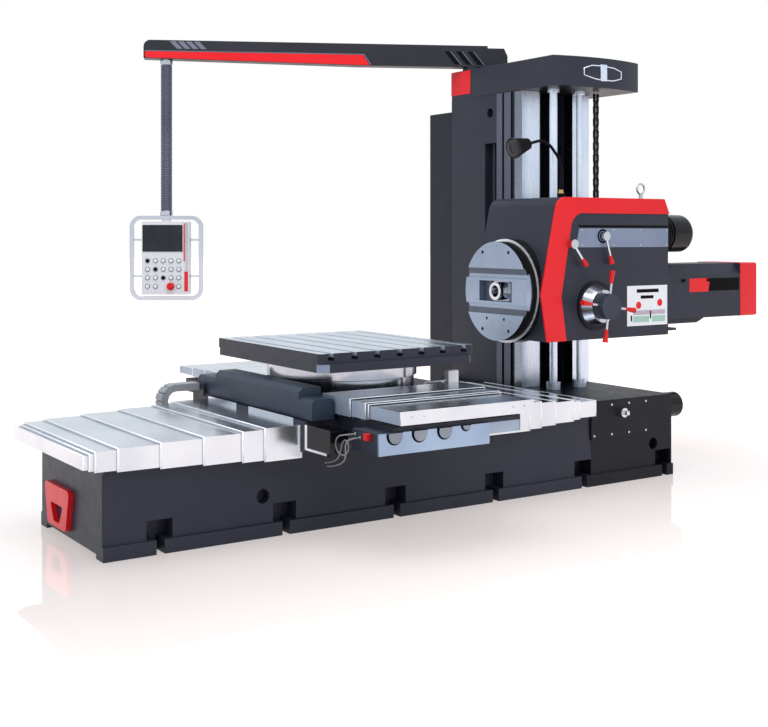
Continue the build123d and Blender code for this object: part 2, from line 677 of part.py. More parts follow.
def saddle():
    """Saddle on the bed rails, its cross wings and the feed gearbox below the near wing."""
    body = block(SADDLE_LOW_X, SADDLE_HIGH_X, -SADDLE_HALF_WIDTH, SADDLE_HALF_WIDTH, SADDLE_LOW_Z, SADDLE_TOP)
    for side in (-1, 1):
        low, high = sorted((side * (BED_WIDTH / 2 + CLEAR), side * SADDLE_HALF_WIDTH))
        body += block(SADDLE_LOW_X, SADDLE_HIGH_X, low, high, APRON_LOW_Z, SADDLE_LOW_Z)
    body += block(CHAIN_LOOP_END_X, CHAIN_LOOP_END_X + BRACKET_SHEET, SADDLE_HALF_WIDTH,
                  CHAIN_LOOP_Y + CHAIN_LOOP_WIDTH, APRON_LOW_Z, CHAIN_LOOP_Z + CHAIN_LOOP_OUTER)
    body += block(SADDLE_LOW_X, CHAIN_LOOP_END_X + BRACKET_SHEET, SADDLE_HALF_WIDTH - CLEAR,
                  SADDLE_HALF_WIDTH, APRON_LOW_Z, SADDLE_TOP)
    low_x, high_x = TABLE_CENTRE_X - WING_HALF_X, TABLE_CENTRE_X + WING_HALF_X
    body += block(low_x, high_x, -WING_HALF_Y, FAR_WING_Y, WING_LOW_Z, WING_TOP)
    body += block(GEARBOX_LOW_X, GEARBOX_LOW_X + GEARBOX_LENGTH, GEARBOX_FRONT_Y, GEARBOX_BACK_Y,
                  GEARBOX_LOW_Z, GEARBOX_TOP)
    return body


def shaft_cap_places():
    """X, Z and radius of each cap on the gearbox."""
    large = [(x, SHAFT_CAP_Z, SHAFT_CAP_RADIUS) for x in SHAFT_CAP_X]
    return large + [(SMALL_CAP_X, SMALL_CAP_Z, SMALL_CAP_RADIUS)]


def saddle_front_plate():
    """Bright gearbox front with its round cut-outs open at the top edge."""
    y0, y1 = GEARBOX_FRONT_Y - FRONT_PLATE_THICKNESS, GEARBOX_FRONT_Y
    plate = block(GEARBOX_LOW_X, GEARBOX_LOW_X + GEARBOX_LENGTH, y0, y1, GEARBOX_LOW_Z, GEARBOX_TOP)
    for x, z, radius in shaft_cap_places():
        cut = radius + SHAFT_CAP_GAP
        plate -= bar_y(x, y0, y1, z, cut)
        if z < GEARBOX_TOP:
            plate -= block(x - cut, x + cut, y0, y1, z, GEARBOX_TOP)
    return plate


def shaft_caps():
    """Round caps on the gearbox shafts, cut level with its top."""
    y0 = GEARBOX_FRONT_Y - SHAFT_CAP_LENGTH
    return [bar_y(x, y0, GEARBOX_FRONT_Y, z, radius)
            & block(x - radius, x + radius, y0, GEARBOX_FRONT_Y, GEARBOX_LOW_Z, GEARBOX_TOP)
            for x, z, radius in shaft_cap_places()]


def saddle_motor():
    """Drive box beside the bed with its bracket, and the gearbox's connector and hose glands."""
    y1 = -SADDLE_HALF_WIDTH
    x0 = MOTOR_BOX_LOW_X
    body = block(x0, x0 + MOTOR_BOX_LENGTH, y1 - MOTOR_BOX_DEPTH, y1,
                 MOTOR_BOX_LOW_Z, MOTOR_BOX_LOW_Z + MOTOR_BOX_HEIGHT)
    body += block(x0 - BRACKET_PLATE, x0, y1 - BRACKET_PLATE_DEPTH, y1, MOTOR_BOX_LOW_Z, BRACKET_PLATE_TOP)
    w, d, h = CONNECTOR
    connector = block(GEARBOX_LOW_X - w, GEARBOX_LOW_X, CONNECTOR_Y - d / 2, CONNECTOR_Y + d / 2,
                      CONNECTOR_Z, CONNECTOR_Z + h)
    glands = [bar_x(x, x + GLAND_LENGTH, y, z, GLAND_RADIUS) for x, y, z in (HOSE_1[0], HOSE_2[0])]
    return Compound([body, connector, *glands])


def oil_hose(points):
    """A hanging oil hose: straight runs joined by arcs as large as the runs allow."""
    radii = []
    for a, b, c in zip(points, points[1:], points[2:]):
        into, out = Vector(*b) - Vector(*a), Vector(*c) - Vector(*b)
        half_turn = math.radians(into.get_angle(out) / 2)
        radii.append(HOSE_ARC * min(into.length, out.length) / math.tan(half_turn))
    path = FilletPolyline(*points, radius=radii)
    tube = sweep(path.location_at(0) * Circle(HOSE_RADIUS), path)
    print("hose radii", [round(r) for r in radii], "length", round(path.length),
          "volume ratio", round(tube.volume / (math.pi * HOSE_RADIUS**2 * path.length), 3))
    return tube


def cross_cover(side, near, length, level, wall_low, close_end):
    """One section over the cross ways; near is its outer end's distance from the bed's middle."""
    half = CROSS_COVER_HALF + level * CROSS_COVER_STEP
    top = CROSS_COVER_TOP + level * CROSS_COVER_STEP
    skirt = CROSS_COVER_TOP - CROSS_COVER_SKIRT - level * COVER_WALL
    x0, x1 = TABLE_CENTRE_X - half, TABLE_CENTRE_X + half
    far = near - length

    def span(a, b):
        return tuple(sorted((side * a, side * b)))

    y0, y1 = span(near, far)
    body = block(x0, x1, y0, y1, skirt, top)
    body -= block(x0 + COVER_SHEET, x1 - COVER_SHEET, y0, y1, skirt, top - COVER_SHEET)
    if close_end:
        e0, e1 = span(near, near - COVER_WALL)
        body += block(x0, x1, e0, e1, skirt, top)
    w0, w1 = span(far + COVER_WALL, far)
    return body + block(x0, x1, w0, w1, wall_low, top)


def cross_covers(side, end, first_level, exposed_list, length_list):
    """Sections on one side of the cross slide, outermost first."""
    near = end
    pieces = []
    for index, (exposed, length) in enumerate(zip(exposed_list, length_list)):
        low = WING_TOP if index == 0 else WING_TOP + SEAT
        pieces.append(cross_cover(side, near, length, first_level + index, low, index == 0))
        near -= exposed
    return pieces


def cross_slide():
    """Cross slide with the lower turntable ring."""
    body = block(SLIDE_LOW_X, SLIDE_HIGH_X, -SLIDE_HALF_Y, SLIDE_HALF_Y, WING_TOP + SEAT, SLIDE_TOP)
    body += bar_z(TABLE_CENTRE_X, 0, SLIDE_TOP, LOWER_RING_TOP, LOWER_RING_RADIUS)
    return body


def cross_beam():
    """Long guard beam on the cross slide's left side, with a lower housing at each end."""
    x0, x1 = BEAM_LOW_X, BEAM_LOW_X + BEAM_WIDTH
    c = BEAM_CHAMFER
    outline = [(x0, BEAM_LOW_Z), (x1, BEAM_LOW_Z), (x1, BEAM_TOP), (x0 + c, BEAM_TOP), (x0, BEAM_TOP - c)]
    body = slab_y(outline, BEAM_MAIN_LOW_Y, BEAM_MAIN_HIGH_Y)
    housing = block(x0, x1, BEAM_LOW_Y, BEAM_HIGH_Y, BEAM_LOW_Z, BEAM_HOUSING_TOP)
    body += fillet(housing.edges().filter_by(Axis.Y).group_by(Axis.Z)[-1], BEAM_HOUSING_CORNER)
    return body + block(x1, SLIDE_LOW_X, -SLIDE_HALF_Y + CLEAR, SLIDE_HALF_Y - CLEAR,
                        WING_TOP + CLEAR, SLIDE_TOP)


def switch_box():
    """Small limit switch box on the cross slide's near right corner, with its lead clipped to the slide."""
    w, d, h = SWITCH_BOX
    body = block(SWITCH_BOX_X, SWITCH_BOX_X + w, SWITCH_BOX_Y - d / 2, SWITCH_BOX_Y + d / 2,
                 SLIDE_TOP, SLIDE_TOP + h)
    body = fillet(body.edges().filter_by(Axis.Z), SWITCH_BOX_CORNER)
    end_x = SWITCH_BOX_X - SWITCH_LEAD_LENGTH
    z = SLIDE_TOP + SWITCH_LEAD_HEIGHT
    path = FilletPolyline((SWITCH_BOX_X + CLEAR, SWITCH_BOX_Y, z), (end_x, SWITCH_BOX_Y, z),
                          (end_x, SWITCH_BOX_Y, SLIDE_TOP), radius=SWITCH_LEAD_BEND)
    return body + sweep(path.location_at(0) * Circle(SWITCH_LEAD_RADIUS), path)


def rotary_ring():
    """Upper ring of the turntable, under the table."""
    return bar_z(TABLE_CENTRE_X, 0, LOWER_RING_TOP + SEAT, TABLE_LOW_Z, UPPER_RING_RADIUS)


def table():
    """T-slotted rotary table on a skirt that stands out at the slots' ends."""
    def plate(length_y, corner, z0, z1):
        face = Rectangle(TABLE_LENGTH_X, length_y)
        face = chamfer(face.vertices(), corner)
        return Pos(TABLE_CENTRE_X, 0, z0) * extrude(face, z1 - z0)

    skirt_top = TABLE_LOW_Z + TABLE_SKIRT_HEIGHT
    body = plate(TABLE_LENGTH_Y + 2 * TABLE_SKIRT_REACH, TABLE_CORNER, TABLE_LOW_Z, skirt_top)
    body += plate(TABLE_LENGTH_Y, TABLE_TOP_CORNER, skirt_top, TABLE_TOP)
    neck, head = T_SLOT_NECK / 2, T_SLOT_HEAD / 2
    neck_low = TABLE_TOP - T_SLOT_NECK_DEPTH
    head_low = neck_low - T_SLOT_HEAD_HEIGHT
    reach = TABLE_LENGTH_Y / 2
    for index in range(T_SLOT_COUNT):
        x = TABLE_CENTRE_X + (index - (T_SLOT_COUNT - 1) / 2) * T_SLOT_PITCH
        body -= block(x - neck, x + neck, -reach, reach, neck_low, TABLE_TOP)
        body -= block(x - head, x + head, -reach, reach, head_low, neck_low)
    return body


def headstock_outline():
    """The headstock's side outline in X and Z, from its low left corner."""
    return [(HEADSTOCK_LOW_X, HEADSTOCK_LOW_Z), (HEADSTOCK_HIGH_X, HEADSTOCK_LOW_Z),
            (HEADSTOCK_HIGH_X, HEADSTOCK_TOP - HEADSTOCK_BEVEL_Z),
            (HEADSTOCK_HIGH_X - HEADSTOCK_BEVEL_X, HEADSTOCK_TOP), (HEADSTOCK_TOP_X, HEADSTOCK_TOP),
            (HEADSTOCK_NOSE_X, HEADSTOCK_NOSE_Z)]


def headstock():
    """Headstock body with its face ring, way lugs, shaft holes, chain well and spindle bore."""
    body = slab_y(headstock_outline(), HEADSTOCK_FRONT_Y, HEADSTOCK_BACK_Y,
                  HEADSTOCK_CORNER, (HEADSTOCK_TOP_X, HEADSTOCK_TOP))
    body += bar_x(FACE_RING_X, FACE_RING_X + FACE_RING_DEPTH, 0, SPINDLE_Z, FACE_RING_RADIUS)
    for x, radius in ((SCREW_X, SCREW_RADIUS), (GUIDE_X, GUIDE_RADIUS)):
        body -= bar_z(x, SHAFT_Y, HEADSTOCK_LOW_Z, HEADSTOCK_TOP, radius + CLEAR)
    half_x, half_y = CHAIN_WIDTH / 2 + CHAIN_ROOM, CHAIN_THICKNESS / 2 + CHAIN_ROOM
    body -= block(CHAIN_X - half_x, CHAIN_X + half_x, CHAIN_Y - half_y, CHAIN_Y + half_y,
                  HEADSTOCK_TOP - CHAIN_WELL, HEADSTOCK_TOP)
    body -= bar_x(FACE_RING_X, SLEEVE_X + SLEEVE_LENGTH + CLEAR, 0, SPINDLE_Z, SLEEVE_RADIUS + RUNNING)
    body -= bar_x(FACE_RING_X, HEADSTOCK_HIGH_X, 0, SPINDLE_Z, SPINDLE_RADIUS + CLEAR)
    return body


def way_keepers():
    """Four keeper blocks that hold the headstock to the outer sides of the ways."""
    left, right = way_spans()
    keepers = []
    for z in (HEADSTOCK_LOW_Z, HEADSTOCK_TOP - KEEPER_HEIGHT):
        for x0 in (left[0] - SEAT - KEEPER_WIDTH, right[1] + SEAT):
            keepers.append(block(x0, x0 + KEEPER_WIDTH, HEADSTOCK_BACK_Y, HEADSTOCK_BACK_Y + KEEPER_DEPTH,
                                 z, z + KEEPER_HEIGHT))
    return Compound(keepers)


def headstock_band():
    """Red band along the near face's left and top edges."""
    y0, y1 = HEADSTOCK_FRONT_Y - BAND_THICKNESS, HEADSTOCK_FRONT_Y
    outer = slab_y(headstock_outline(), y0, y1, HEADSTOCK_CORNER, (HEADSTOCK_TOP_X, HEADSTOCK_TOP))
    low_z, high_x = HEADSTOCK_LOW_Z - CLEAR, HEADSTOCK_HIGH_X + CLEAR
    top_z = HEADSTOCK_TOP - BAND_TOP_HEIGHT
    inner = [(HEADSTOCK_LOW_X + BAND_LOW_WIDTH, low_z), (high_x, low_z), (high_x, top_z),
             (BAND_INNER_CORNER_X, top_z),
             (HEADSTOCK_NOSE_X + BAND_NOSE_WIDTH, HEADSTOCK_NOSE_Z - BAND_NOSE_DROP)]
    return outer - slab_y(inner, y0, y1, BAND_INNER_RADIUS, (BAND_INNER_CORNER_X, top_z))


def label_plate():
    """Bare instruction plate on the headstock's near face."""
    return block(LABEL_LOW_X, LABEL_LOW_X + LABEL_WIDTH, HEADSTOCK_FRONT_Y - LABEL_THICKNESS,
                 HEADSTOCK_FRONT_Y, LABEL_LOW_Z, LABEL_LOW_Z + LABEL_HEIGHT)


def rear_motor():
    """Finned main motor behind the headstock's right side, with a round-shouldered fan cover."""
    x0, x1 = HEADSTOCK_HIGH_X, HEADSTOCK_HIGH_X + REAR_MOTOR_LENGTH
    fins_x = x0 + REAR_MOTOR_FLANGE
    cover_x = fins_x + REAR_MOTOR_FIN_COUNT * REAR_MOTOR_FIN_PITCH
    y, z, radius = REAR_MOTOR_Y, REAR_MOTOR_Z, REAR_MOTOR_RADIUS
    cover = bar_x(cover_x, x1, y, z, radius)
    body = fillet(cover.edges().sort_by(Axis.X)[-1], REAR_MOTOR_END_RADIUS)
    body += bar_x(x0, cover_x, y, z, radius - REAR_MOTOR_FIN_DEPTH)
    body += bar_x(x0, fins_x, y, z, radius)
    gap = REAR_MOTOR_FIN_PITCH - REAR_MOTOR_FIN
    for index in range(REAR_MOTOR_FIN_COUNT - 1):
        x = fins_x + gap + index * REAR_MOTOR_FIN_PITCH
        body += bar_x(x, x + REAR_MOTOR_FIN, y, z, radius)
    return body


def tail_housing():
    """Spindle tail housing at the headstock's right: bevelled box, chip tray, shelf and two knobs."""
    x0, x1 = HEADSTOCK_HIGH_X, HEADSTOCK_HIGH_X + TAIL_LENGTH
    half, bevel_y = TAIL_HALF_Y, TAIL_HALF_Y - TAIL_BEVEL_Y
    section = make_face(Polyline((-half, TAIL_LOW_Z), (half, TAIL_LOW_Z), (half, TAIL_TOP - TAIL_BEVEL_Z),
                                 (bevel_y, TAIL_TOP), (-bevel_y, TAIL_TOP), (-half, TAIL_TOP - TAIL_BEVEL_Z),
                                 close=True))
    body = Pos(x0, 0, 0) * Rot(0, 0, 90) * Rot(90, 0, 0) * extrude(section, x1 - x0)
    tray = [(x0, TAIL_LOW_Z - TRAY_DEPTH), (x0 + TRAY_LENGTH - TRAY_SLOPE, TAIL_LOW_Z - TRAY_DEPTH),
            (x0 + TRAY_LENGTH, TAIL_LOW_Z), (x0, TAIL_LOW_Z)]
    body += slab_y(tray, -TRAY_HALF_Y, TRAY_HALF_Y)
    for x in KNOB_X:
        body += bar_y(x, -half - KNOB_LENGTH, -half, KNOB_Z, KNOB_RADIUS)
    body -= bar_x(x0, SPINDLE_NOSE_X + SPINDLE_LENGTH + CLEAR, 0, SPINDLE_Z, SPINDLE_RADIUS + CLEAR)
    shelf = block(x0, x0 + SHELF_LENGTH, -half, -half + SHELF_WIDTH,
                  SHELF_LOW_Z, SHELF_LOW_Z + SHELF_THICKNESS)
    return Compound([body, shelf])


def tail_cap():
    """Red end cap of the tail housing, a box with rounded edges."""
    x0 = HEADSTOCK_HIGH_X + TAIL_LENGTH
    half = TAIL_HALF_Y + TAIL_CAP_GROW
    body = block(x0, x0 + TAIL_CAP_LENGTH, -half, half, TAIL_LOW_Z - TAIL_CAP_GROW, TAIL_TOP + TAIL_CAP_GROW)
    edges = body.edges().filter_by(Axis.X) + body.edges().group_by(Axis.X)[-1]
    return fillet(edges, TAIL_CAP_CORNER)


def work_lamp():
    """Gooseneck lamp on the headstock's top."""
    foot = (LAMP_X, LAMP_Y, HEADSTOCK_TOP + LAMP_BASE_HEIGHT / 2)
    head = (LAMP_X + LAMP_HEAD_X, LAMP_Y, HEADSTOCK_TOP + LAMP_HEAD_Z)
    turns = [(LAMP_X + x, LAMP_Y, HEADSTOCK_TOP + z) for x, z, _ in LAMP_NECK_TURNS]
    path = FilletPolyline(foot, *turns, head, radius=[radius for _, _, radius in LAMP_NECK_TURNS])
    body = sweep(path.location_at(0) * Circle(LAMP_NECK_RADIUS), path)
    body += bar_z(LAMP_X, LAMP_Y, HEADSTOCK_TOP, HEADSTOCK_TOP + LAMP_BASE_HEIGHT, LAMP_BASE_RADIUS)
    return body + Pos(*head) * Rot(0, LAMP_HEAD_TURN, 0) * Cone(
        *LAMP_HEAD_RADII, LAMP_HEAD_LENGTH, align=(Align.CENTER, Align.CENTER, Align.MIN))


def oil_gauge():
    """Lifting eye on the headstock's top."""
    body = bar_z(EYE_X, LAMP_Y, HEADSTOCK_TOP, HEADSTOCK_TOP + EYE_STEM_HEIGHT, EYE_STEM_RADIUS)
    ring = Torus(EYE_RING_RADIUS, EYE_BAR_RADIUS)
    return body + Pos(EYE_X, LAMP_Y, HEADSTOCK_TOP + EYE_STEM_HEIGHT + EYE_RING_RADIUS) * Rot(90, 0, 0) * ring


def dovetail(clearance):
    """The slideway's outline in X and Z from the gibs' front to its floor, grown by a clearance."""
    front = HEAD_FRONT_X + SLIDE_FACE_DEPTH - clearance
    back = HEAD_FRONT_X + SLIDE_DEPTH + clearance
    half = WAY_HALF_HEIGHT + clearance
    return [(front, SPINDLE_Z - half), (back, SPINDLE_Z - half - DOVETAIL_LEAN),
            (back, SPINDLE_Z + half + DOVETAIL_LEAN), (front, SPINDLE_Z + half)]


def facing_head():
    """Facing head disc: two proud segments, a gib strip beside each and the dovetailed slideway between."""
    back = FACE_RING_X - SEAT
    body = bar_x(HEAD_FRONT_X, back, 0, SPINDLE_Z, HEAD_RADIUS)
    reach = HEAD_RADIUS + CLEAR
    body -= block(HEAD_FRONT_X, HEAD_FRONT_X + GIB_DEPTH, -reach, reach,
                  SPINDLE_Z - SEGMENT_START_Z, SPINDLE_Z + SEGMENT_START_Z)
    body -= block(HEAD_FRONT_X, HEAD_FRONT_X + SLIDE_FACE_DEPTH, -reach, reach,
                  SPINDLE_Z - WAY_HALF_HEIGHT, SPINDLE_Z + WAY_HALF_HEIGHT)
    body -= slab_y(dovetail(SEAT), -reach, reach)
    body -= bar_x(HEAD_FRONT_X, back, 0, SPINDLE_Z, HEAD_BORE_RADIUS)
    holes = [(y, z, FACE_BOLT_RADIUS) for y, z in FACE_BOLTS] + [(*FACE_TAP, FACE_TAP_RADIUS)]
    for y, z, radius in holes:
        for side in (-1, 1):
            body -= bar_x(HEAD_FRONT_X, HEAD_FRONT_X + FACE_BOLT_DEPTH, side * y, SPINDLE_Z + z, radius)
    return body


def facing_slide():
    """Dovetailed tool slide of the facing head, with a window round the spindle."""
    half = SLIDE_FACE_HEIGHT / 2
    front, back = HEAD_FRONT_X, HEAD_FRONT_X + SLIDE_DEPTH
    body = slab_y(dovetail(0), -HEAD_RADIUS, HEAD_RADIUS)
    body += block(front, front + SLIDE_FACE_DEPTH, -HEAD_RADIUS, HEAD_RADIUS,
                  SPINDLE_Z - half, SPINDLE_Z + half)
    body &= bar_x(front, back, 0, SPINDLE_Z, HEAD_RADIUS - HEAD_RIM)
    return body - block(front, back, -WINDOW_LENGTH / 2, WINDOW_LENGTH / 2,
                        SPINDLE_Z - WINDOW_HEIGHT / 2, SPINDLE_Z + WINDOW_HEIGHT / 2)


def spindle_sleeve():
    """Hollow driving spindle that carries the boring spindle."""
    body = bar_x(SLEEVE_X, SLEEVE_X + SLEEVE_LENGTH, 0, SPINDLE_Z, SLEEVE_RADIUS)
    return body - bar_x(SLEEVE_X, SLEEVE_X + SLEEVE_LENGTH, 0, SPINDLE_Z, SPINDLE_RADIUS + RUNNING)


def spindle():
    """Boring spindle with its taper socket."""
    body = bar_x(SPINDLE_NOSE_X, SPINDLE_NOSE_X + SPINDLE_LENGTH, 0, SPINDLE_Z, SPINDLE_RADIUS)
    socket = Cone(TAPER_MOUTH_RADIUS, TAPER_MOUTH_RADIUS - TAPER_DEPTH * TAPER_RATIO / 2, TAPER_DEPTH,
                  align=(Align.CENTER, Align.CENTER, Align.MIN))
    return body - Pos(SPINDLE_NOSE_X, 0, SPINDLE_Z) * Rot(0, 90, 0) * socket


def gripped_bar(start, reach, grip_length):
    """A round bar along Z with a grip that widens to its end."""
    standing = (Align.CENTER, Align.CENTER, Align.MIN)
    bar = Pos(0, 0, start) * Cylinder(SPOKE_RADIUS, reach - start, align=standing)
    return bar + Pos(0, 0, reach - grip_length) * Cone(*GRIP_RADII, grip_length, align=standing)


def pilot_wheel():
    """Feed capstan: flange, graduated dial, hub and four gripped spokes."""
    y0 = HEADSTOCK_FRONT_Y - SEAT
    y1 = y0 - WHEEL_FLANGE_LENGTH
    y2 = y1 - WHEEL_DIAL_LENGTH
    y3 = y2 - WHEEL_HUB_LENGTH
    body = bar_y(WHEEL_X, y1, y0, WHEEL_Z, WHEEL_FLANGE_RADIUS)
    wide, narrow = WHEEL_DIAL_RADII
    body += Pos(WHEEL_X, y1, WHEEL_Z) * Rot(90, 0, 0) * Cone(
        wide, narrow, WHEEL_DIAL_LENGTH, align=(Align.CENTER, Align.CENTER, Align.MIN))
    body += bar_y(WHEEL_X, y3, y2, WHEEL_Z, WHEEL_HUB_RADIUS)
    for index in range(SPOKE_COUNT):
        turn = Rot(0, SPOKE_ANGLE + 360 * index / SPOKE_COUNT, 0)
        spoke = gripped_bar(SPOKE_START, SPOKE_REACH, GRIP_LENGTH)
        body += Pos(WHEEL_X, y3 + SPOKE_BACK, WHEEL_Z) * turn * spoke
    return body


def lever(x, z, reach, angle, face_y):
    """A shift lever on the headstock's near face."""
    y0 = face_y - SEAT
    y1 = y0 - LEVER_HUB_LENGTH
    body = bar_y(x, y1, y0, z, LEVER_HUB_RADIUS)
    arm_bar = gripped_bar(0, reach, LEVER_GRIP_LENGTH)
    return body + Pos(x, y1 + LEVER_ARM_BACK, z) * Rot(0, 90 - angle, 0) * arm_bar


def arm_place():
    """The arm's own frame: X outwards from the pivot."""
    return Pos(ARM_PIVOT_X, ARM_PIVOT_Y, 0) * Rot(0, 0, ARM_ANGLE)


def arm_outline():
    """The arm's side outline, along its length and up: a tapered beam with a stepped root block."""
    top = ARM_LOW_Z + ARM_ROOT_HEIGHT
    return [(-ARM_REAR, ARM_LOW_Z), (ARM_END * ARM_SLOPE_START, ARM_LOW_Z), (ARM_END, top - ARM_TIP_HEIGHT),
            (ARM_END, top), (-ARM_BACK, top), (-ARM_BACK, top - ARM_BLOCK_DROP),
            (-ARM_BLOCK_BACK, top - ARM_BLOCK_DROP), (-ARM_REAR, top - ARM_REAR_DROP)]


def arm():
    """Swinging pendant arm, bored for the hanging tube's pin."""
    half = ARM_WIDTH / 2
    top = ARM_LOW_Z + ARM_ROOT_HEIGHT
    body = slab_y(arm_outline(), -half, half, ARM_TIP_CORNER, (ARM_END, top))
    body -= bar_z(ARM_REACH, 0, ARM_LOW_Z, top - ARM_BORE_ROOF, PIN_RADIUS + RUNNING)
    body -= bar_z(ARM_REACH, 0, ARM_LOW_Z, top - ARM_TIP_HEIGHT + TUBE_SOCKET, TUBE_RADIUS + CLEAR)
    return arm_place() * body


def arm_trim():
    """Red strip along the arm's near lower edge, cut off at a slant towards the root."""
    y0 = ARM_WIDTH / 2
    low = ARM_LOW_Z + ARM_ROOT_HEIGHT - ARM_TIP_HEIGHT + TRIM_RAISE
    x0, x1 = ARM_END - TRIM_LENGTH, ARM_END - TRIM_END_GAP
    outline = [(x0, low), (x1, low), (x1, low + TRIM_HEIGHT), (x0 + TRIM_SLANT, low + TRIM_HEIGHT)]
    return arm_place() * slab_y(outline, y0, y0 + TRIM_THICKNESS)


def pendant_place():
    """The pendant's own frame: its front looks along -Y before it is turned to the operator."""
    angle = math.radians(ARM_ANGLE)
    x = ARM_PIVOT_X + ARM_REACH * math.cos(angle)
    y = ARM_PIVOT_Y + ARM_REACH * math.sin(angle)
    return Pos(x, y, 0) * Rot(0, 0, PENDANT_TURN)


def hanging_tube():
    """Tube that hangs the pendant, with a collar at each end and the pin it swivels on."""
    top = ARM_LOW_Z + ARM_ROOT_HEIGHT - ARM_TIP_HEIGHT + TUBE_SOCKET - SEAT
    body = bar_z(0, 0, PENDANT_TOP, top, TUBE_RADIUS)
    for z in (PENDANT_TOP, top - TUBE_COLLAR_DROP - TUBE_COLLAR_HEIGHT):
        body += bar_z(0, 0, z, z + TUBE_COLLAR_HEIGHT, TUBE_COLLAR_RADIUS)
    body += bar_z(0, 0, top, top + PIN_LENGTH, PIN_RADIUS)
    return pendant_place() * body


def pendant_frame():
    """Round bumper frame round the pendant panel."""
    w, h = BUMPER_WIDTH / 2 - BUMPER_TUBE, BUMPER_HEIGHT / 2 - BUMPER_TUBE
    outer = RectangleRounded(2 * (w + BUMPER_TUBE), 2 * (h + BUMPER_TUBE), BUMPER_CORNER)
    inner = RectangleRounded(2 * (w - BUMPER_TUBE), 2 * (h - BUMPER_TUBE), BUMPER_CORNER - 2 * BUMPER_TUBE)
    ring = extrude(outer - inner, BUMPER_TUBE, both=True)
    ring = Rot(90, 0, 0) * ring
    centre = PENDANT_TOP - BUMPER_HEIGHT / 2
    brace_half = PANEL_WIDTH / 2
    for z in (-PANEL_HEIGHT / 4, PANEL_HEIGHT / 4):
        for low, high in ((-w, -brace_half), (brace_half, w)):
            ring += block(low, high, -BRACE_HALF, BRACE_HALF, z - BRACE_HALF, z + BRACE_HALF)
    return pendant_place() * Pos(0, 0, centre) * ring


def pendant_box():
    """Operator panel box inside the bumper frame."""
    centre = PENDANT_TOP - BUMPER_HEIGHT / 2
    body = Pos(0, 0, centre) * Box(PANEL_WIDTH, PANEL_DEPTH, PANEL_HEIGHT)
    body = fillet(body.edges().filter_by(Axis.Y), PANEL_CORNER)
    top = centre + PANEL_HEIGHT / 2
    body += bar_z(0, 0, top, PENDANT_TOP - 2 * BUMPER_TUBE, NECK_RADIUS)
    return pendant_place() * body


def energy_chain():
    """Cable chain that loops beside the bed to the saddle's far side, link after link."""
    outer, inner, leg = CHAIN_LOOP_OUTER, CHAIN_LOOP_INNER, CHAIN_LOOP_LEG
    mean = (outer + inner) / 2
    link = RectangleRounded(LINK_LENGTH, outer - inner, LINK_CORNER)
    chain = Sketch()
    for side in (-1, 1):
        for index in range(LEG_LINKS):
            chain += Pos(leg * (index + 0.5) / LEG_LINKS, side * mean) * link
    for index in range(BEND_LINKS):
        angle = 90 + 180 * (index + 0.5) / BEND_LINKS
        chain += Rot(0, 0, angle) * Pos(mean, 0) * Rot(0, 0, 90) * link
    chain &= Pos(leg / 2 - outer, 0) * Rectangle(leg + 2 * outer, 2 * outer)
    place = Pos(CHAIN_LOOP_END_X - leg, CHAIN_LOOP_Y + CHAIN_LOOP_WIDTH, CHAIN_LOOP_Z) * Rot(90, 0, 0)
    return place * extrude(chain, CHAIN_LOOP_WIDTH)


def main():
    left = left_covers()
    right = right_covers()
    near = cross_covers(-1, NEAR_COVER_END, 0, NEAR_EXPOSED, NEAR_LENGTHS)
    far = cross_covers(1, FAR_COVER_END, FAR_COVER_LEVEL, FAR_EXPOSED, FAR_LENGTHS)
    nodes = {
        "bed": bed(),
        "lifting_frame": lifting_frame(),
        "feed_door": feed_door(),
        "feed_shaft_end": feed_shaft_end(),
        "bed_motor": bed_motor(),
        "column": column(),
        "column_ways": column_ways(),
        "column_cap": column_cap(),
        "counterweight_guard": counterweight_guard(),
        "lift_shafts": lift_shafts(),
        "headstock_chain": headstock_chain(),
        "saddle": saddle(),
        "saddle_front_plate": Compound([saddle_front_plate(), *shaft_caps()]),
        "saddle_motor": saddle_motor(),
        "oil_hose_1": oil_hose(HOSE_1),
        "oil_hose_2": oil_hose(HOSE_2),
        "energy_chain": energy_chain(),
        "cross_slide": cross_slide(),
        "cross_beam": cross_beam(),
        "switch_box": switch_box(),
        "rotary_ring": rotary_ring(),
        "table": table(),
        "headstock": headstock(),
        "way_keepers": way_keepers(),
        "headstock_band": headstock_band(),
        "label_plate": label_plate(),
        "rear_motor": rear_motor(),
        "tail_housing": tail_housing(),
        "tail_cap": tail_cap(),
        "work_lamp": work_lamp(),
        "oil_gauge": oil_gauge(),
        "facing_head": facing_head(),
        "facing_slide": facing_slide(),
        "spindle_sleeve": spindle_sleeve(),
        "spindle": spindle(),
        "pilot_wheel": pilot_wheel(),
        "speed_lever": lever(*LEVER_A, HEADSTOCK_FRONT_Y - BAND_THICKNESS),
        "feed_lever": lever(*LEVER_B, HEADSTOCK_FRONT_Y),
        "arm": arm(),
        "arm_trim": arm_trim(),
        "hanging_tube": hanging_tube(),
        "pendant_frame": pendant_frame(),
        "pendant_box": pendant_box(),
    }
    nodes["fixed_covers"] = Compound([left[0], right[-1]])
    nodes["saddle_covers"] = Compound([left[-1], right[0]])
    for index, piece in enumerate(left[1:-1], 2):
        nodes[f"left_cover_{index}"] = piece
    for index, piece in enumerate(right[1:-1], 2):
        nodes[f"right_cover_{index}"] = piece
    for index, piece in enumerate(near, 1):
        nodes[f"near_cover_{index}"] = piece
    for index, piece in enumerate(far, 1):
        nodes[f"far_cover_{index}"] = piece
    os.makedirs("parts", exist_ok=True)
    for name, piece in nodes.items():
        export_step(piece, f"parts/{name}.step")


main()
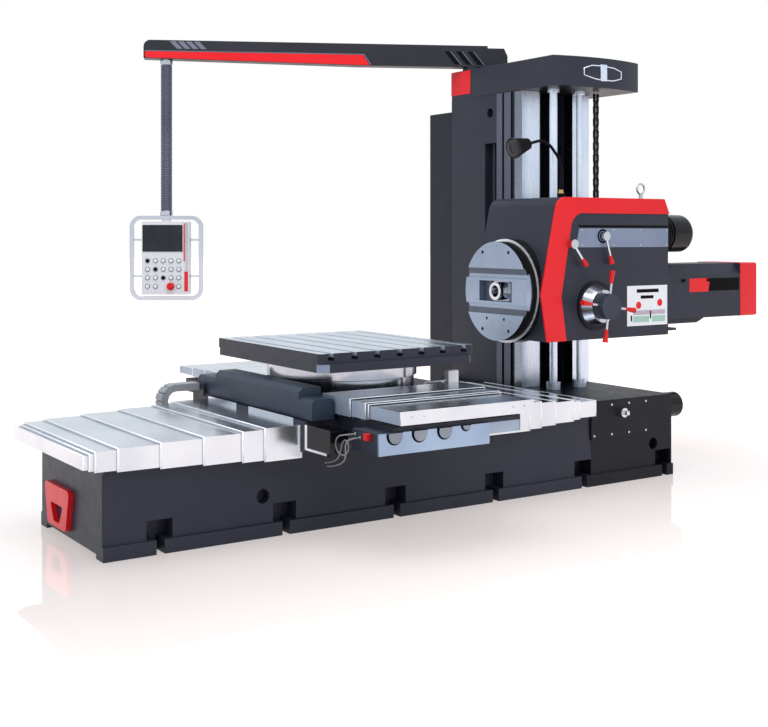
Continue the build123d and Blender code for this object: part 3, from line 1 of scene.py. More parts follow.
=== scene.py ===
"""Looks of a horizontal boring mill: finishes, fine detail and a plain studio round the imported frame.

Lengths are in metres. X runs along the bed towards the column, Y away from the operator and Z up.
"""
import logging
import math
from dataclasses import dataclass
from enum import Enum
from typing import Callable, Sequence

import bpy
from mathutils import Matrix, Vector


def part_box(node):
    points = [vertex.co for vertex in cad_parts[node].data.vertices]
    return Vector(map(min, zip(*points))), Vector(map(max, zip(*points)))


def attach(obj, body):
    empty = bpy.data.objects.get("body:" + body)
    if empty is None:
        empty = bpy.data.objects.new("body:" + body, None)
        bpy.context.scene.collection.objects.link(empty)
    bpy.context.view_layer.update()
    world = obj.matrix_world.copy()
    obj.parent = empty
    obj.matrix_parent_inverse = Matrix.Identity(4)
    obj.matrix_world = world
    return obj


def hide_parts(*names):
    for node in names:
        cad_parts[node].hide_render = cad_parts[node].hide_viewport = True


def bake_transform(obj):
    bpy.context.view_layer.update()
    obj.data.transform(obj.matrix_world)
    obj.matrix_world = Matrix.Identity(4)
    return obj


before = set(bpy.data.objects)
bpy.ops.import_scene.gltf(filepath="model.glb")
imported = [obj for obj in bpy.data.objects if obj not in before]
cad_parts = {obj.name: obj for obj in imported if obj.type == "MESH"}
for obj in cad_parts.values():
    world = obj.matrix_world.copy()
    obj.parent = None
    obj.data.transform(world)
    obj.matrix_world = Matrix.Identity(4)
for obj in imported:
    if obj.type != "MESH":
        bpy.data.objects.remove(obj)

LOG = logging.getLogger("boring_mill")

Colour = tuple[float, float, float]
Point = tuple[float, float, float]
Spot = tuple[float, float]
Step = tuple[float, float]
Range = tuple[float, float]
Piece = bpy.types.Object
Socket = bpy.types.NodeSocket


class Slot(Enum):
    """Material slots of the record, passed with the pieces made here but not read."""

    RED = "red_paint"
    BLACK = "black_paint"
    STEEL = "ground_steel"
    COVER = "cover_sheet"
    CONTROL = "control_metal"
    LAMP = "lamp_black"
    PANEL = "light_panel"
    FRAME = "frame_metal"


class Axis(Enum):
    """Unit directions of the machine's frame."""

    X = (1.0, 0.0, 0.0)
    Y = (0.0, 1.0, 0.0)
    Z = (0.0, 0.0, 1.0)
    TOWARDS_OPERATOR = (0.0, -1.0, 0.0)
    TOWARDS_TABLE = (-1.0, 0.0, 0.0)


class Graph:
    """A node tree, with short calls to add and link its nodes."""

    def __init__(self, owner: bpy.types.ID) -> None:
        """Starts an empty tree for the material or world that owns it."""
        owner.use_nodes = True
        self.owner = owner
        self.nodes = owner.node_tree.nodes
        self.links = owner.node_tree.links
        self.nodes.clear()
        self.coords = self.add("ShaderNodeTexCoord")

    def add(self, kind: str, **inputs: float | Sequence[float]) -> bpy.types.Node:
        """Adds a node and sets its inputs, by their names with _ for a blank."""
        node = self.nodes.new(kind)
        self.fill(node, inputs)
        return node

    @staticmethod
    def fill(node: bpy.types.Node, values: dict[str, float | Sequence[float]]) -> None:
        """Sets a node's inputs, by their names with _ for a blank."""
        for key, value in values.items():
            node.inputs[key.replace("_", " ")].default_value = value

    def noise(self, scale: float, stretch: Point = (1.0, 1.0, 1.0), detail: float = 2.0,
              roughness: float = 0.5) -> Socket:
        """Adds noise on Object coordinates.

        Args:
            scale: Cells per metre.
            stretch: Factor on each axis; a small factor draws the cells out along it.
            detail: Octaves of the noise.
            roughness: Weight of the fine octaves.

        Returns:
            The noise value's socket.
        """
        mapping = self.add("ShaderNodeMapping", Scale=stretch)
        self.links.new(self.coords.outputs["Object"], mapping.inputs["Vector"])
        noise = self.add("ShaderNodeTexNoise", Scale=scale, Detail=detail, Roughness=roughness)
        self.links.new(mapping.outputs["Vector"], noise.inputs["Vector"])
        return noise.outputs["Fac"]

    def spread(self, source: Socket, low: float, high: float, start: float = 0.3, end: float = 0.7) -> Socket:
        """Maps a noise value onto another range.

        Args:
            source: Value to map.
            low: Result at start.
            high: Result at end.
            start: Source value that gives low.
            end: Source value that gives high.

        Returns:
            The mapped value's socket.
        """
        node = self.add("ShaderNodeMapRange", From_Min=start, From_Max=end, To_Min=low, To_Max=high)
        self.links.new(source, node.inputs["Value"])
        return node.outputs["Result"]

    def maths(self, operation: str, first: Socket, second: Socket) -> Socket:
        """Combines two values by a math node's operation and returns the result's socket."""
        node = self.add("ShaderNodeMath")
        node.operation = operation
        self.links.new(first, node.inputs[0])
        self.links.new(second, node.inputs[1])
        return node.outputs["Value"]

    def shaders(self, share: Socket, first: Socket, second: Socket) -> Socket:
        """Mixes two shaders by the share of the second and returns the mixed shader's socket."""
        node = self.add("ShaderNodeMixShader")
        for index, socket in enumerate((share, first, second)):
            self.links.new(socket, node.inputs[index])
        return node.outputs["Shader"]


class Surface(Graph):
    """The tree of a material, with a principled surface linked to its output."""

    def __init__(self, name: str) -> None:
        """Starts a new material of that name."""
        super().__init__(bpy.data.materials.new(name))
        self.output = self.add("ShaderNodeOutputMaterial")
        self.surface = self.add("ShaderNodeBsdfPrincipled")
        self.links.new(self.surface.outputs["BSDF"], self.output.inputs["Surface"])

    def tone(self, factor: Socket, first: Colour, second: Colour) -> None:
        """Colours the surface between two tones.

        Args:
            factor: Share of the second tone.
            first: Colour at 0.
            second: Colour at 1.
        """
        node = self.add("ShaderNodeMix")
        node.data_type = "RGBA"
        self.links.new(factor, node.inputs["Factor"])
        tones = [socket for socket in node.inputs if socket.type == "RGBA"]
        for socket, colour in zip(tones, (first, second)):
            socket.default_value = (*colour, 1.0)
        self.drive("Base Color", next(socket for socket in node.outputs if socket.type == "RGBA"))

    def set(self, **values: float) -> None:
        """Sets constant values on the surface's sockets, by their names with _ for a blank."""
        self.fill(self.surface, values)

    def drive(self, key: str, socket: Socket) -> None:
        """Links a socket to the surface's input of that name."""
        self.links.new(socket, self.surface.inputs[key])

    def bump(self, height: Socket, strength: float, distance: float) -> None:
        """Roughens the surface by a height.

        Args:
            height: Height from 0 to 1.
            strength: Share of the effect.
            distance: Depth of the relief, in metres.
        """
        node = self.add("ShaderNodeBump", Strength=strength, Distance=distance)
        self.links.new(height, node.inputs["Height"])
        self.links.new(node.outputs["Normal"], self.surface.inputs["Normal"])


@dataclass(frozen=True)
class Paint:
    """Sprayed or moulded coat with faint orange peel and a slow drift in tone."""

    name: str
    colour: Colour
    shade: Colour
    gloss: Range = (0.40, 0.50)
    coat: float = 0.05
    specular: float = 0.25
    peel: float = 260.0
    relief: float = 0.00025
    peel_share: float = 0.35
    drift_scale: float = 2.1
    sheen_scale: float = 14.0
    coat_gloss: float = 0.18

    def build(self) -> bpy.types.Material:
        """Builds the paint's material."""
        graph = Surface(self.name)
        graph.tone(graph.spread(graph.noise(self.drift_scale, detail=5.0), 0.0, 1.0), self.colour, self.shade)
        graph.drive("Roughness", graph.spread(graph.noise(self.sheen_scale, detail=4.0), *self.gloss))
        graph.set(Coat_Weight=self.coat, Coat_Roughness=self.coat_gloss, Specular_IOR_Level=self.specular)
        graph.bump(graph.noise(self.peel, detail=1.0), self.peel_share, self.relief)
        return graph.owner


@dataclass(frozen=True)
class Metal:
    """Bare metal with streaks along one direction and clouds in its tone."""

    name: str
    colour: Colour
    shade: Colour
    gloss: Range = (0.18, 0.32)
    streak: Point = (1.0, 1.0, 1.0)
    streak_scale: float = 300.0
    cloud_scale: float = 3.0
    relief: float = 0.00006
    metallic: float = 1.0
    streak_share: float = 0.3

    def build(self) -> bpy.types.Material:
        """Builds the metal's material."""
        graph = Surface(self.name)
        clouds = graph.noise(self.cloud_scale, detail=3.0)
        graph.tone(graph.spread(clouds, 0.0, 1.0), self.colour, self.shade)
        streaks = graph.noise(self.streak_scale, self.streak, detail=2.0, roughness=0.6)
        graph.drive("Roughness", graph.spread(streaks, *self.gloss))
        graph.set(Metallic=self.metallic)
        graph.bump(streaks, self.streak_share, self.relief)
        return graph.owner


@dataclass(frozen=True)
class Glass:
    """Dark screen glass with a faint tint from edge to edge."""

    name: str
    colour: Colour
    shade: Colour
    gloss: Range = (0.06, 0.12)
    coat: float = 0.1
    coat_gloss: float = 0.05
    specular: float = 0.25
    tint_scale: float = 9.0
    haze_scale: float = 40.0

    def build(self) -> bpy.types.Material:
        """Builds the screen's material."""
        graph = Surface(self.name)
        graph.tone(graph.spread(graph.noise(self.tint_scale), 0.0, 1.0), self.colour, self.shade)
        graph.drive("Roughness", graph.spread(graph.noise(self.haze_scale), *self.gloss))
        graph.set(Coat_Weight=self.coat, Coat_Roughness=self.coat_gloss, Specular_IOR_Level=self.specular)
        return graph.owner


Finish = Paint | Metal | Glass

SLATE = Paint("slate_machine_paint", (0.020, 0.0225, 0.036), (0.025, 0.028, 0.044))
DARK_SLATE = Paint("dark_slate_paint", (0.008, 0.008, 0.013), (0.011, 0.011, 0.017), specular=0.16)
# Darker copy of the column's slate: painted shade on the counterweight guard.
GUARD_SHADE_SLATE = Paint("guard_slate_painted_shade", (0.010, 0.012, 0.022), (0.014, 0.016, 0.028), specular=0.2)
EDGE_SLATE = Paint("pale_edge_slate", (0.088, 0.096, 0.135), (0.070, 0.077, 0.112), gloss=(0.3, 0.4))
HUB_SLATE = Paint("hub_slate_paint", (0.034, 0.041, 0.062), (0.028, 0.034, 0.052))
BEAM_SLATE = Paint("beam_slate_paint", (0.024, 0.036, 0.058), (0.029, 0.042, 0.066))
CHAIN_LINK = Paint("pale_chain_links", (0.34, 0.36, 0.39), (0.16, 0.17, 0.19), gloss=(0.35, 0.45))
ARM_SLATE = Paint("arm_slate_paint", (0.016, 0.017, 0.024), (0.021, 0.022, 0.031), gloss=(0.42, 0.52))
ARM_MARK = Paint("pale_arm_mark", (0.17, 0.18, 0.23), (0.14, 0.15, 0.20), gloss=(0.4, 0.5), coat=0.0)
RED = Paint("signal_red_paint", (0.76, 0.013, 0.020), (0.70, 0.010, 0.016), gloss=(0.28, 0.36), coat=0.1)
RED_GRIP = Paint("red_moulded_grip", (0.66, 0.012, 0.014), (0.58, 0.009, 0.012), gloss=(0.3, 0.4), coat=0.1)
BLACK = Paint("black_motor_paint", (0.003, 0.003, 0.004), (0.005, 0.005, 0.006), gloss=(0.12, 0.18), coat=0.0)
BLACK_PLASTIC = Paint("black_plastic", (0.004, 0.004, 0.005), (0.007, 0.007, 0.008), gloss=(0.42, 0.55),
                      coat=0.0, specular=0.04)
PALE_PANEL = Paint("pale_panel_paint", (0.70, 0.70, 0.73), (0.66, 0.66, 0.69), gloss=(0.3, 0.4), peel=340.0)
WHITE = Paint("white_panel_paint", (0.80, 0.81, 0.84), (0.75, 0.76, 0.80), gloss=(0.3, 0.4), coat=0.1,
              peel=340.0)
GREY_PLASTIC = Paint("grey_plastic", (0.24, 0.25, 0.28), (0.20, 0.21, 0.24), gloss=(0.4, 0.5), coat=0.0)
GREEN_MARK = Paint("green_label_mark", (0.36, 0.56, 0.48), (0.32, 0.52, 0.44), coat=0.0)
VIOLET_MARK = Paint("violet_label_mark", (0.48, 0.42, 0.50), (0.44, 0.38, 0.46), coat=0.0)
HOSE = Paint("pale_hose_rubber", (0.27, 0.27, 0.28), (0.21, 0.21, 0.22), gloss=(0.35, 0.45), coat=0.0)
BRASS = Metal("brass_fitting", (0.62, 0.42, 0.16), (0.54, 0.35, 0.12), gloss=(0.2, 0.3))
PANEL_BLUE = Metal("blue_grey_panel", (0.22, 0.27, 0.38), (0.18, 0.22, 0.32), gloss=(0.32, 0.44),
                   streak=(0.02, 1.0, 1.0), streak_scale=500.0, metallic=0.5)
FRONT_PLATE = Metal("blue_front_plate", (0.36, 0.47, 0.63), (0.28, 0.37, 0.52), gloss=(0.3, 0.42),
                    streak=(0.02, 1.0, 1.0), streak_scale=420.0)
COVER = Metal("bright_cover_sheet", (0.72, 0.755, 0.81), (0.58, 0.62, 0.68), gloss=(0.14, 0.26),
              streak=(1.0, 0.02, 1.0), streak_scale=420.0, cloud_scale=2.2)
COVER_EDGE = Metal("cover_edge_strip", (0.95, 0.96, 0.98), (0.90, 0.92, 0.95), gloss=(0.35, 0.5),
                   streak=(1.0, 0.02, 1.0), streak_scale=600.0, metallic=0.6)
STEEL = Metal("ground_steel", (0.52, 0.56, 0.62), (0.42, 0.46, 0.52), gloss=(0.16, 0.3),
              streak=(1.0, 1.0, 0.02), streak_scale=500.0)
WAY_STEEL = Metal("pale_way_steel", (0.78, 0.85, 0.97), (0.66, 0.74, 0.88), gloss=(0.2, 0.34),
                  streak=(1.0, 1.0, 0.02), streak_scale=460.0, metallic=0.8)
CAP_STEEL = Metal("turned_cap_steel", (0.26, 0.30, 0.36), (0.18, 0.21, 0.26), gloss=(0.2, 0.34),
                  streak=(1.0, 1.0, 1.0), streak_scale=90.0)
RING_STEEL = Metal("turned_ring_steel", (0.56, 0.58, 0.64), (0.42, 0.44, 0.50), gloss=(0.10, 0.2),
                   streak=(1.0, 1.0, 0.02), streak_scale=600.0)
CHAIN_STEEL = Metal("oiled_chain_steel", (0.16, 0.16, 0.17), (0.10, 0.10, 0.11), gloss=(0.25, 0.4),
                    cloud_scale=30.0)
TABLE_TOP = Metal("ground_table_top", (0.66, 0.72, 0.78), (0.52, 0.58, 0.64), gloss=(0.18, 0.32),
                  streak=(1.0, 0.02, 1.0), streak_scale=500.0, cloud_scale=4.0)
HEAD_STEEL = Metal("facing_head_steel", (0.36, 0.44, 0.56), (0.28, 0.35, 0.46), gloss=(0.26, 0.4),
                   streak=(1.0, 0.05, 1.0), streak_scale=400.0, metallic=0.85)
# Darker copy of the cover sheet: painted shade on the covers' sides.
COVER_SIDE_SHADE = Metal("cover_side_painted_shade", (0.40, 0.47, 0.58), (0.27, 0.34, 0.45), gloss=(0.3, 0.4),
                   metallic=0.35)
FRAME_SILVER = Metal("silver_frame", (0.60, 0.65, 0.72), (0.50, 0.55, 0.62), gloss=(0.14, 0.24))
SLEEVE = Metal("dark_hose_sleeve", (0.11, 0.122, 0.170), (0.085, 0.094, 0.135), gloss=(0.3, 0.4),
               metallic=0.4)
# Darker copy of the facing head's steel: painted shade on the head's recessed floor.
HEAD_FLOOR_SHADE = Metal("facing_head_floor_painted_shade", (0.13, 0.15, 0.19), (0.09, 0.11, 0.14), gloss=(0.3, 0.42),
                   streak=(1.0, 0.05, 1.0), streak_scale=400.0, metallic=0.85)
CHROME = Metal("polished_chrome", (0.62, 0.64, 0.68), (0.54, 0.56, 0.60), gloss=(0.06, 0.14))
SCREEN = Glass("screen_glass", (0.010, 0.011, 0.016), (0.018, 0.020, 0.028))


class Palette:
    """Builds each finish's material once."""

    def __init__(self) -> None:
        """Starts with nothing built."""
        self.built: dict[str, bpy.types.Material] = {}

    def of(self, finish: Finish) -> bpy.types.Material:
        """The material of a finish, which is built when it is first asked for."""
        if finish.name not in self.built:
            self.built[finish.name] = finish.build()
        return self.built[finish.name]


PALETTE = Palette()
Zone = tuple[Finish, Callable[[Vector, Vector], bool]]
Look = tuple[str, Finish, float]


class Workshop:
    """Modelling calls shared by all sub-assemblies."""

    smooth_below = math.radians(35)
    bevel_above = math.radians(32)
    flat_below = math.radians(0.5)
    weld_distance = 0.00003
    least_bevel = 0.0002
    bevel_rings = 2

    @staticmethod
    def only(piece: Piece) -> None:
        """Selects one object and makes it active."""
        bpy.ops.object.select_all(action="DESELECT")
        piece.select_set(True)
        bpy.context.view_layer.objects.active = piece

    @staticmethod
    def settle(piece: Piece, place: Matrix | None = None) -> Piece:
        """Moves a piece to its place and applies it to the mesh.

        Args:
            piece: The piece as modelled.
            place: The matrix that puts it in place, if it isn't there yet.

        Returns:
            The piece, with its object at the origin.
        """
        Workshop.only(piece)
        if place is not None:
            piece.matrix_world = place @ piece.matrix_world
        bpy.ops.object.transform_apply(location=True, rotation=True, scale=True)
        return piece

    @staticmethod
    def box(low: Point, high: Point, bevel: float, place: Matrix | None = None) -> Piece:
        """A box with bevelled edges.

        Args:
            low: Lowest corner.
            high: Highest corner.
            bevel: Width of the bevels.
            place: Matrix applied last.

        Returns:
            The new piece.
        """
        centre = [(a + b) / 2 for a, b in zip(low, high)]
        bpy.ops.object.select_all(action="DESELECT")
        bpy.ops.mesh.primitive_cube_add(size=1.0, location=centre)
        piece = bpy.context.object
        piece.scale = [b - a for a, b in zip(low, high)]
        bpy.ops.object.transform_apply(location=True, rotation=True, scale=True)
        bpy.ops.object.mode_set(mode="EDIT")
        bpy.ops.mesh.select_all(action="SELECT")
        bpy.ops.mesh.bevel(offset=bevel, segments=Workshop.bevel_rings, affect="EDGES")
        bpy.ops.object.mode_set(mode="OBJECT")
        return Workshop.settle(piece, place)

    @staticmethod
    def turned(steps: Sequence[Step], origin: Point, axis: Point, sides: int = 40) -> Piece:
        """A turned solid, drawn out ring by ring from its first face.

        Args:
            steps: Pairs of height along the axis and radius there.
            origin: The point at height 0.
            axis: Direction of growing height.
            sides: Sides of each ring.

        Returns:
            The new piece.
        """
        height, radius = steps[0]
        bpy.ops.object.select_all(action="DESELECT")
        bpy.ops.mesh.primitive_circle_add(vertices=sides, radius=radius, fill_type="NGON",
                                          location=(0, 0, height))
        piece = bpy.context.object
        bpy.ops.object.transform_apply(location=True, rotation=True, scale=True)
        bpy.ops.object.mode_set(mode="EDIT")
        bpy.ops.mesh.select_all(action="SELECT")
        for next_height, next_radius in steps[1:]:
            bpy.ops.mesh.extrude_region_move(TRANSFORM_OT_translate={"value": (0, 0, next_height - height)})
            if next_radius != radius:
                bpy.ops.transform.resize(value=(next_radius / radius, next_radius / radius, 1.0))
            height, radius = next_height, next_radius
        bpy.ops.mesh.select_all(action="SELECT")
        bpy.ops.mesh.normals_make_consistent(inside=False)
        bpy.ops.object.mode_set(mode="OBJECT")
        bpy.ops.object.shade_smooth_by_angle(angle=Workshop.smooth_below)
        turn = Vector(Axis.Z.value).rotation_difference(Vector(axis)).to_matrix().to_4x4()
        return Workshop.settle(piece, Matrix.Translation(Vector(origin)) @ turn)

    @staticmethod
    def curve(name: str, kind: str, points: Sequence[Point], radius: float, rings: int,
              cyclic: bool = False) -> Piece:
        """A round curve object with one spline.

        Args:
            name: Its name.
            kind: The spline's type.
            points: The spline's points.
            radius: Radius round the spline.
            rings: Fineness of the round section.
            cyclic: Whether the spline closes on itself.

        Returns:
            The new object, linked to the scene.
        """
        data = bpy.data.curves.new(name, "CURVE")
        data.dimensions = "3D"
        data.bevel_depth = radius
        data.bevel_resolution = rings
        spline = data.splines.new(kind)
        spline.points.add(len(points) - 1)
        for point, place in zip(spline.points, points):
            point.co = (*place, 1.0)
        spline.use_cyclic_u = cyclic
        piece = bpy.data.objects.new(name, data)
        bpy.context.scene.collection.objects.link(piece)
        return piece

    @staticmethod
    def plate(outline: Sequence[Spot], thickness: float, place: Matrix, bevel: float = 0.001) -> Piece:
        """A flat plate cut to an outline.

        Args:
            outline: Corners of the plate in its own X and Y.
            thickness: From the back, at Z 0, to the front.
            place: Matrix of the plate's own frame.
            bevel: Width of the edge bevels.

        Returns:
            The new piece.
        """
        corners = [(x, y, 0.0) for x, y in outline]
        piece = Workshop.curve("outline", "POLY", corners, bevel, rings=1, cyclic=True)
        piece.data.dimensions = "2D"
        piece.data.fill_mode = "BOTH"
        piece.data.extrude = thickness / 2 - bevel
        piece.data.offset = -bevel
        Workshop.only(piece)
        bpy.ops.object.convert(target="MESH")
        return Workshop.settle(bpy.context.object, place @ Matrix.Translation((0, 0, thickness / 2)))

    @staticmethod
    def repeat(piece: Piece, step: Point, count: int) -> Piece:
        """Repeats a piece in a row and applies the row to its mesh.

        Args:
            piece: The piece to repeat.
            step: Distance from one copy to the next.
            count: Number of copies, the first included.

        Returns:
            The piece, now the whole row.
        """
        array = piece.modifiers.new("Row", "ARRAY")
        array.use_relative_offset = False
        array.use_constant_offset = True
        array.constant_offset_displace = step
        array.count = count
        Workshop.only(piece)
        bpy.ops.object.modifier_apply(modifier=array.name)
        return piece

    @staticmethod
    def ring(points: Sequence[Point], radius: float) -> Piece:
        """A round bar that follows points and closes on itself."""
        piece = Workshop.curve("bar", "POLY", points, radius, rings=2, cyclic=True)
        Workshop.only(piece)
        bpy.ops.object.convert(target="MESH")
        return bpy.context.object

    @staticmethod
    def screws(places: Sequence[Point], radius: float, axis: Axis, height: float = 0.003) -> Piece:
        """Round screw heads with a shallow recess, joined into one piece.

        Args:
            places: Where each head sits.
            radius: Radius of a head.
            axis: Direction in which the heads stand out.
            height: How far they stand out.

        Returns:
            The joined heads.
        """
        steps = [(0.0, radius), (0.7 * height, radius), (height, 0.85 * radius), (height, 0.5 * radius),
                 (0.5 * height, 0.45 * radius)]
        return Workshop.join([Workshop.turned(steps, place, axis.value, sides=14) for place in places])

    @staticmethod
    def sheet(corner: Spot, opposite: Spot, thickness: float, place: Matrix,
              bevel: float = 0.001) -> Piece:
        """A rectangular plate.

        Args:
            corner: Lower left corner in its own X and Y.
            opposite: Upper right corner.
            thickness: From the back to the front.
            place: Matrix of the plate's own frame.
            bevel: Width of the edge bevels.

        Returns:
            The new piece.
        """
        (left, low), (right, high) = corner, opposite
        outline = [(left, low), (right, low), (right, high), (left, high)]
        return Workshop.plate(outline, thickness, place, bevel)

    @staticmethod
    def join(pieces: Sequence[Piece]) -> Piece:
        """Joins pieces into the first and returns it."""
        bpy.ops.object.select_all(action="DESELECT")
        for piece in pieces:
            piece.select_set(True)
        bpy.context.view_layer.objects.active = pieces[0]
        if len(pieces) > 1:
            bpy.ops.object.join()
        return pieces[0]

    @staticmethod
    def coat(piece: Piece, finish: Finish) -> None:
        """Gives a piece or a node one finish in place of what it has."""
        piece.data.materials.clear()
        piece.data.materials.append(PALETTE.of(finish))

    @staticmethod
    def hand_over(piece: Piece, name: str, body: str, finish: Finish, slot: Slot) -> None:
        """Names a finished piece, gives it its material and lets it ride.

        Args:
            piece: The finished piece.
            name: Its name.
            body: The body it rides on.
            finish: Its finish.
            slot: The record's slot for the piece; not used.
        """
        piece.name = name
        Workshop.coat(piece, finish)
        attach(piece, body)
        LOG.info("%s rides on %s, %d faces", name, body, len(piece.data.polygons))

    @staticmethod
    def dress(node: str, finish: Finish, edge: float, zones: Sequence[Zone] = ()) -> None:
        """Gives a frame node its finish and soft edges.

        Args:
            node: The node's name.
            finish: Its finish.
            edge: Width of its edge bevels.
            zones: Other finishes, each with a test on a face's centre and normal. The last that fits holds.
        """
        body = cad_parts[node]
        Workshop.coat(body, finish)
        for index, (zone_finish, inside) in enumerate(zones, 1):
            body.data.materials.append(PALETTE.of(zone_finish))
            for face in body.data.polygons:
                if inside(face.center, face.normal):
                    face.material_index = index
        Workshop.only(body)
        bpy.ops.mesh.customdata_custom_splitnormals_clear()
        body.data.polygons.foreach_set("use_smooth", [True] * len(body.data.polygons))
        weld = body.modifiers.new("Weld", "WELD")
        weld.merge_threshold = Workshop.weld_distance
        flat = body.modifiers.new("Flat faces", "DECIMATE")
        flat.decimate_type = "DISSOLVE"
        flat.angle_limit = Workshop.flat_below
        flat.delimit = {"MATERIAL"}
        bevel = body.modifiers.new("Soft edges", "BEVEL")
        bevel.width = max(edge, Workshop.least_bevel)
        bevel.segments = Workshop.bevel_rings
        bevel.limit_method = "ANGLE"
        bevel.angle_limit = Workshop.bevel_above
        bevel.harden_normals = True
        LOG.info("%s dressed in %s", node, finish.name)


def dress_plain(looks: Sequence[Look]) -> None:
    """Dresses nodes that have one finish; each look gives the node, its finish and its bevels' width."""
    for node, finish, edge in looks:
        Workshop.dress(node, finish, edge)


def facing(origin: Sequence[float], right: Sequence[float], up: Sequence[float]) -> Matrix:
    """The frame of a flat face.

    Args:
        origin: Its origin.
        right: Its X direction.
        up: Its Y direction.

    Returns:
        The matrix whose Z points out of the face.
    """
    x, y = Vector(right).normalized(), Vector(up).normalized()
    z = x.cross(y)
    matrix = Matrix((x, y, z)).transposed().to_4x4()
    return Matrix.Translation(Vector(origin)) @ matrix


@dataclass
class BedGroup:
    """Bed, its fittings and the fixed ends of the covers."""

    plain: tuple[Look, ...] = (
        ("lifting_frame", RED, 0.004), ("feed_door", DARK_SLATE, 0.002), ("feed_shaft_end", CHROME, 0.0015),
        ("bed_motor", BLACK, 0.002), ("fixed_covers", COVER, 0.0006))
    rail_low: float = 0.401
    rail_half: float = 0.45
    dark_from_x: float = 1.139
    screw_radius: float = 0.007
    screw_inset: float = 0.022
    screw_columns: int = 4

    def build(self) -> None:
        """Dresses the bed's nodes."""
        Workshop.dress("bed", SLATE, 0.003, [
            (DARK_SLATE, lambda c, n: c.x > self.dark_from_x),
            (STEEL, lambda c, n: (n.z > 0.5 and c.z > self.rail_low and abs(c.y) < self.rail_half
                                  and c.x < self.dark_from_x))])
        dress_plain(self.plain)
        self.door_screws()

    def door_screws(self) -> None:
        """Fits a row of socket screws along the feed door's top and bottom."""
        low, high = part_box("feed_door")
        inset = self.screw_inset
        step = (high.x - low.x - 2 * inset) / (self.screw_columns - 1)
        places = [(low.x + inset + step * column, low.y, z)
                  for z in (low.z + inset, high.z - inset) for column in range(self.screw_columns)]
        screws = Workshop.screws(places, self.screw_radius, Axis.TOWARDS_OPERATOR)
        Workshop.hand_over(screws, "feed_door_screws", "root", CHROME, Slot.STEEL)


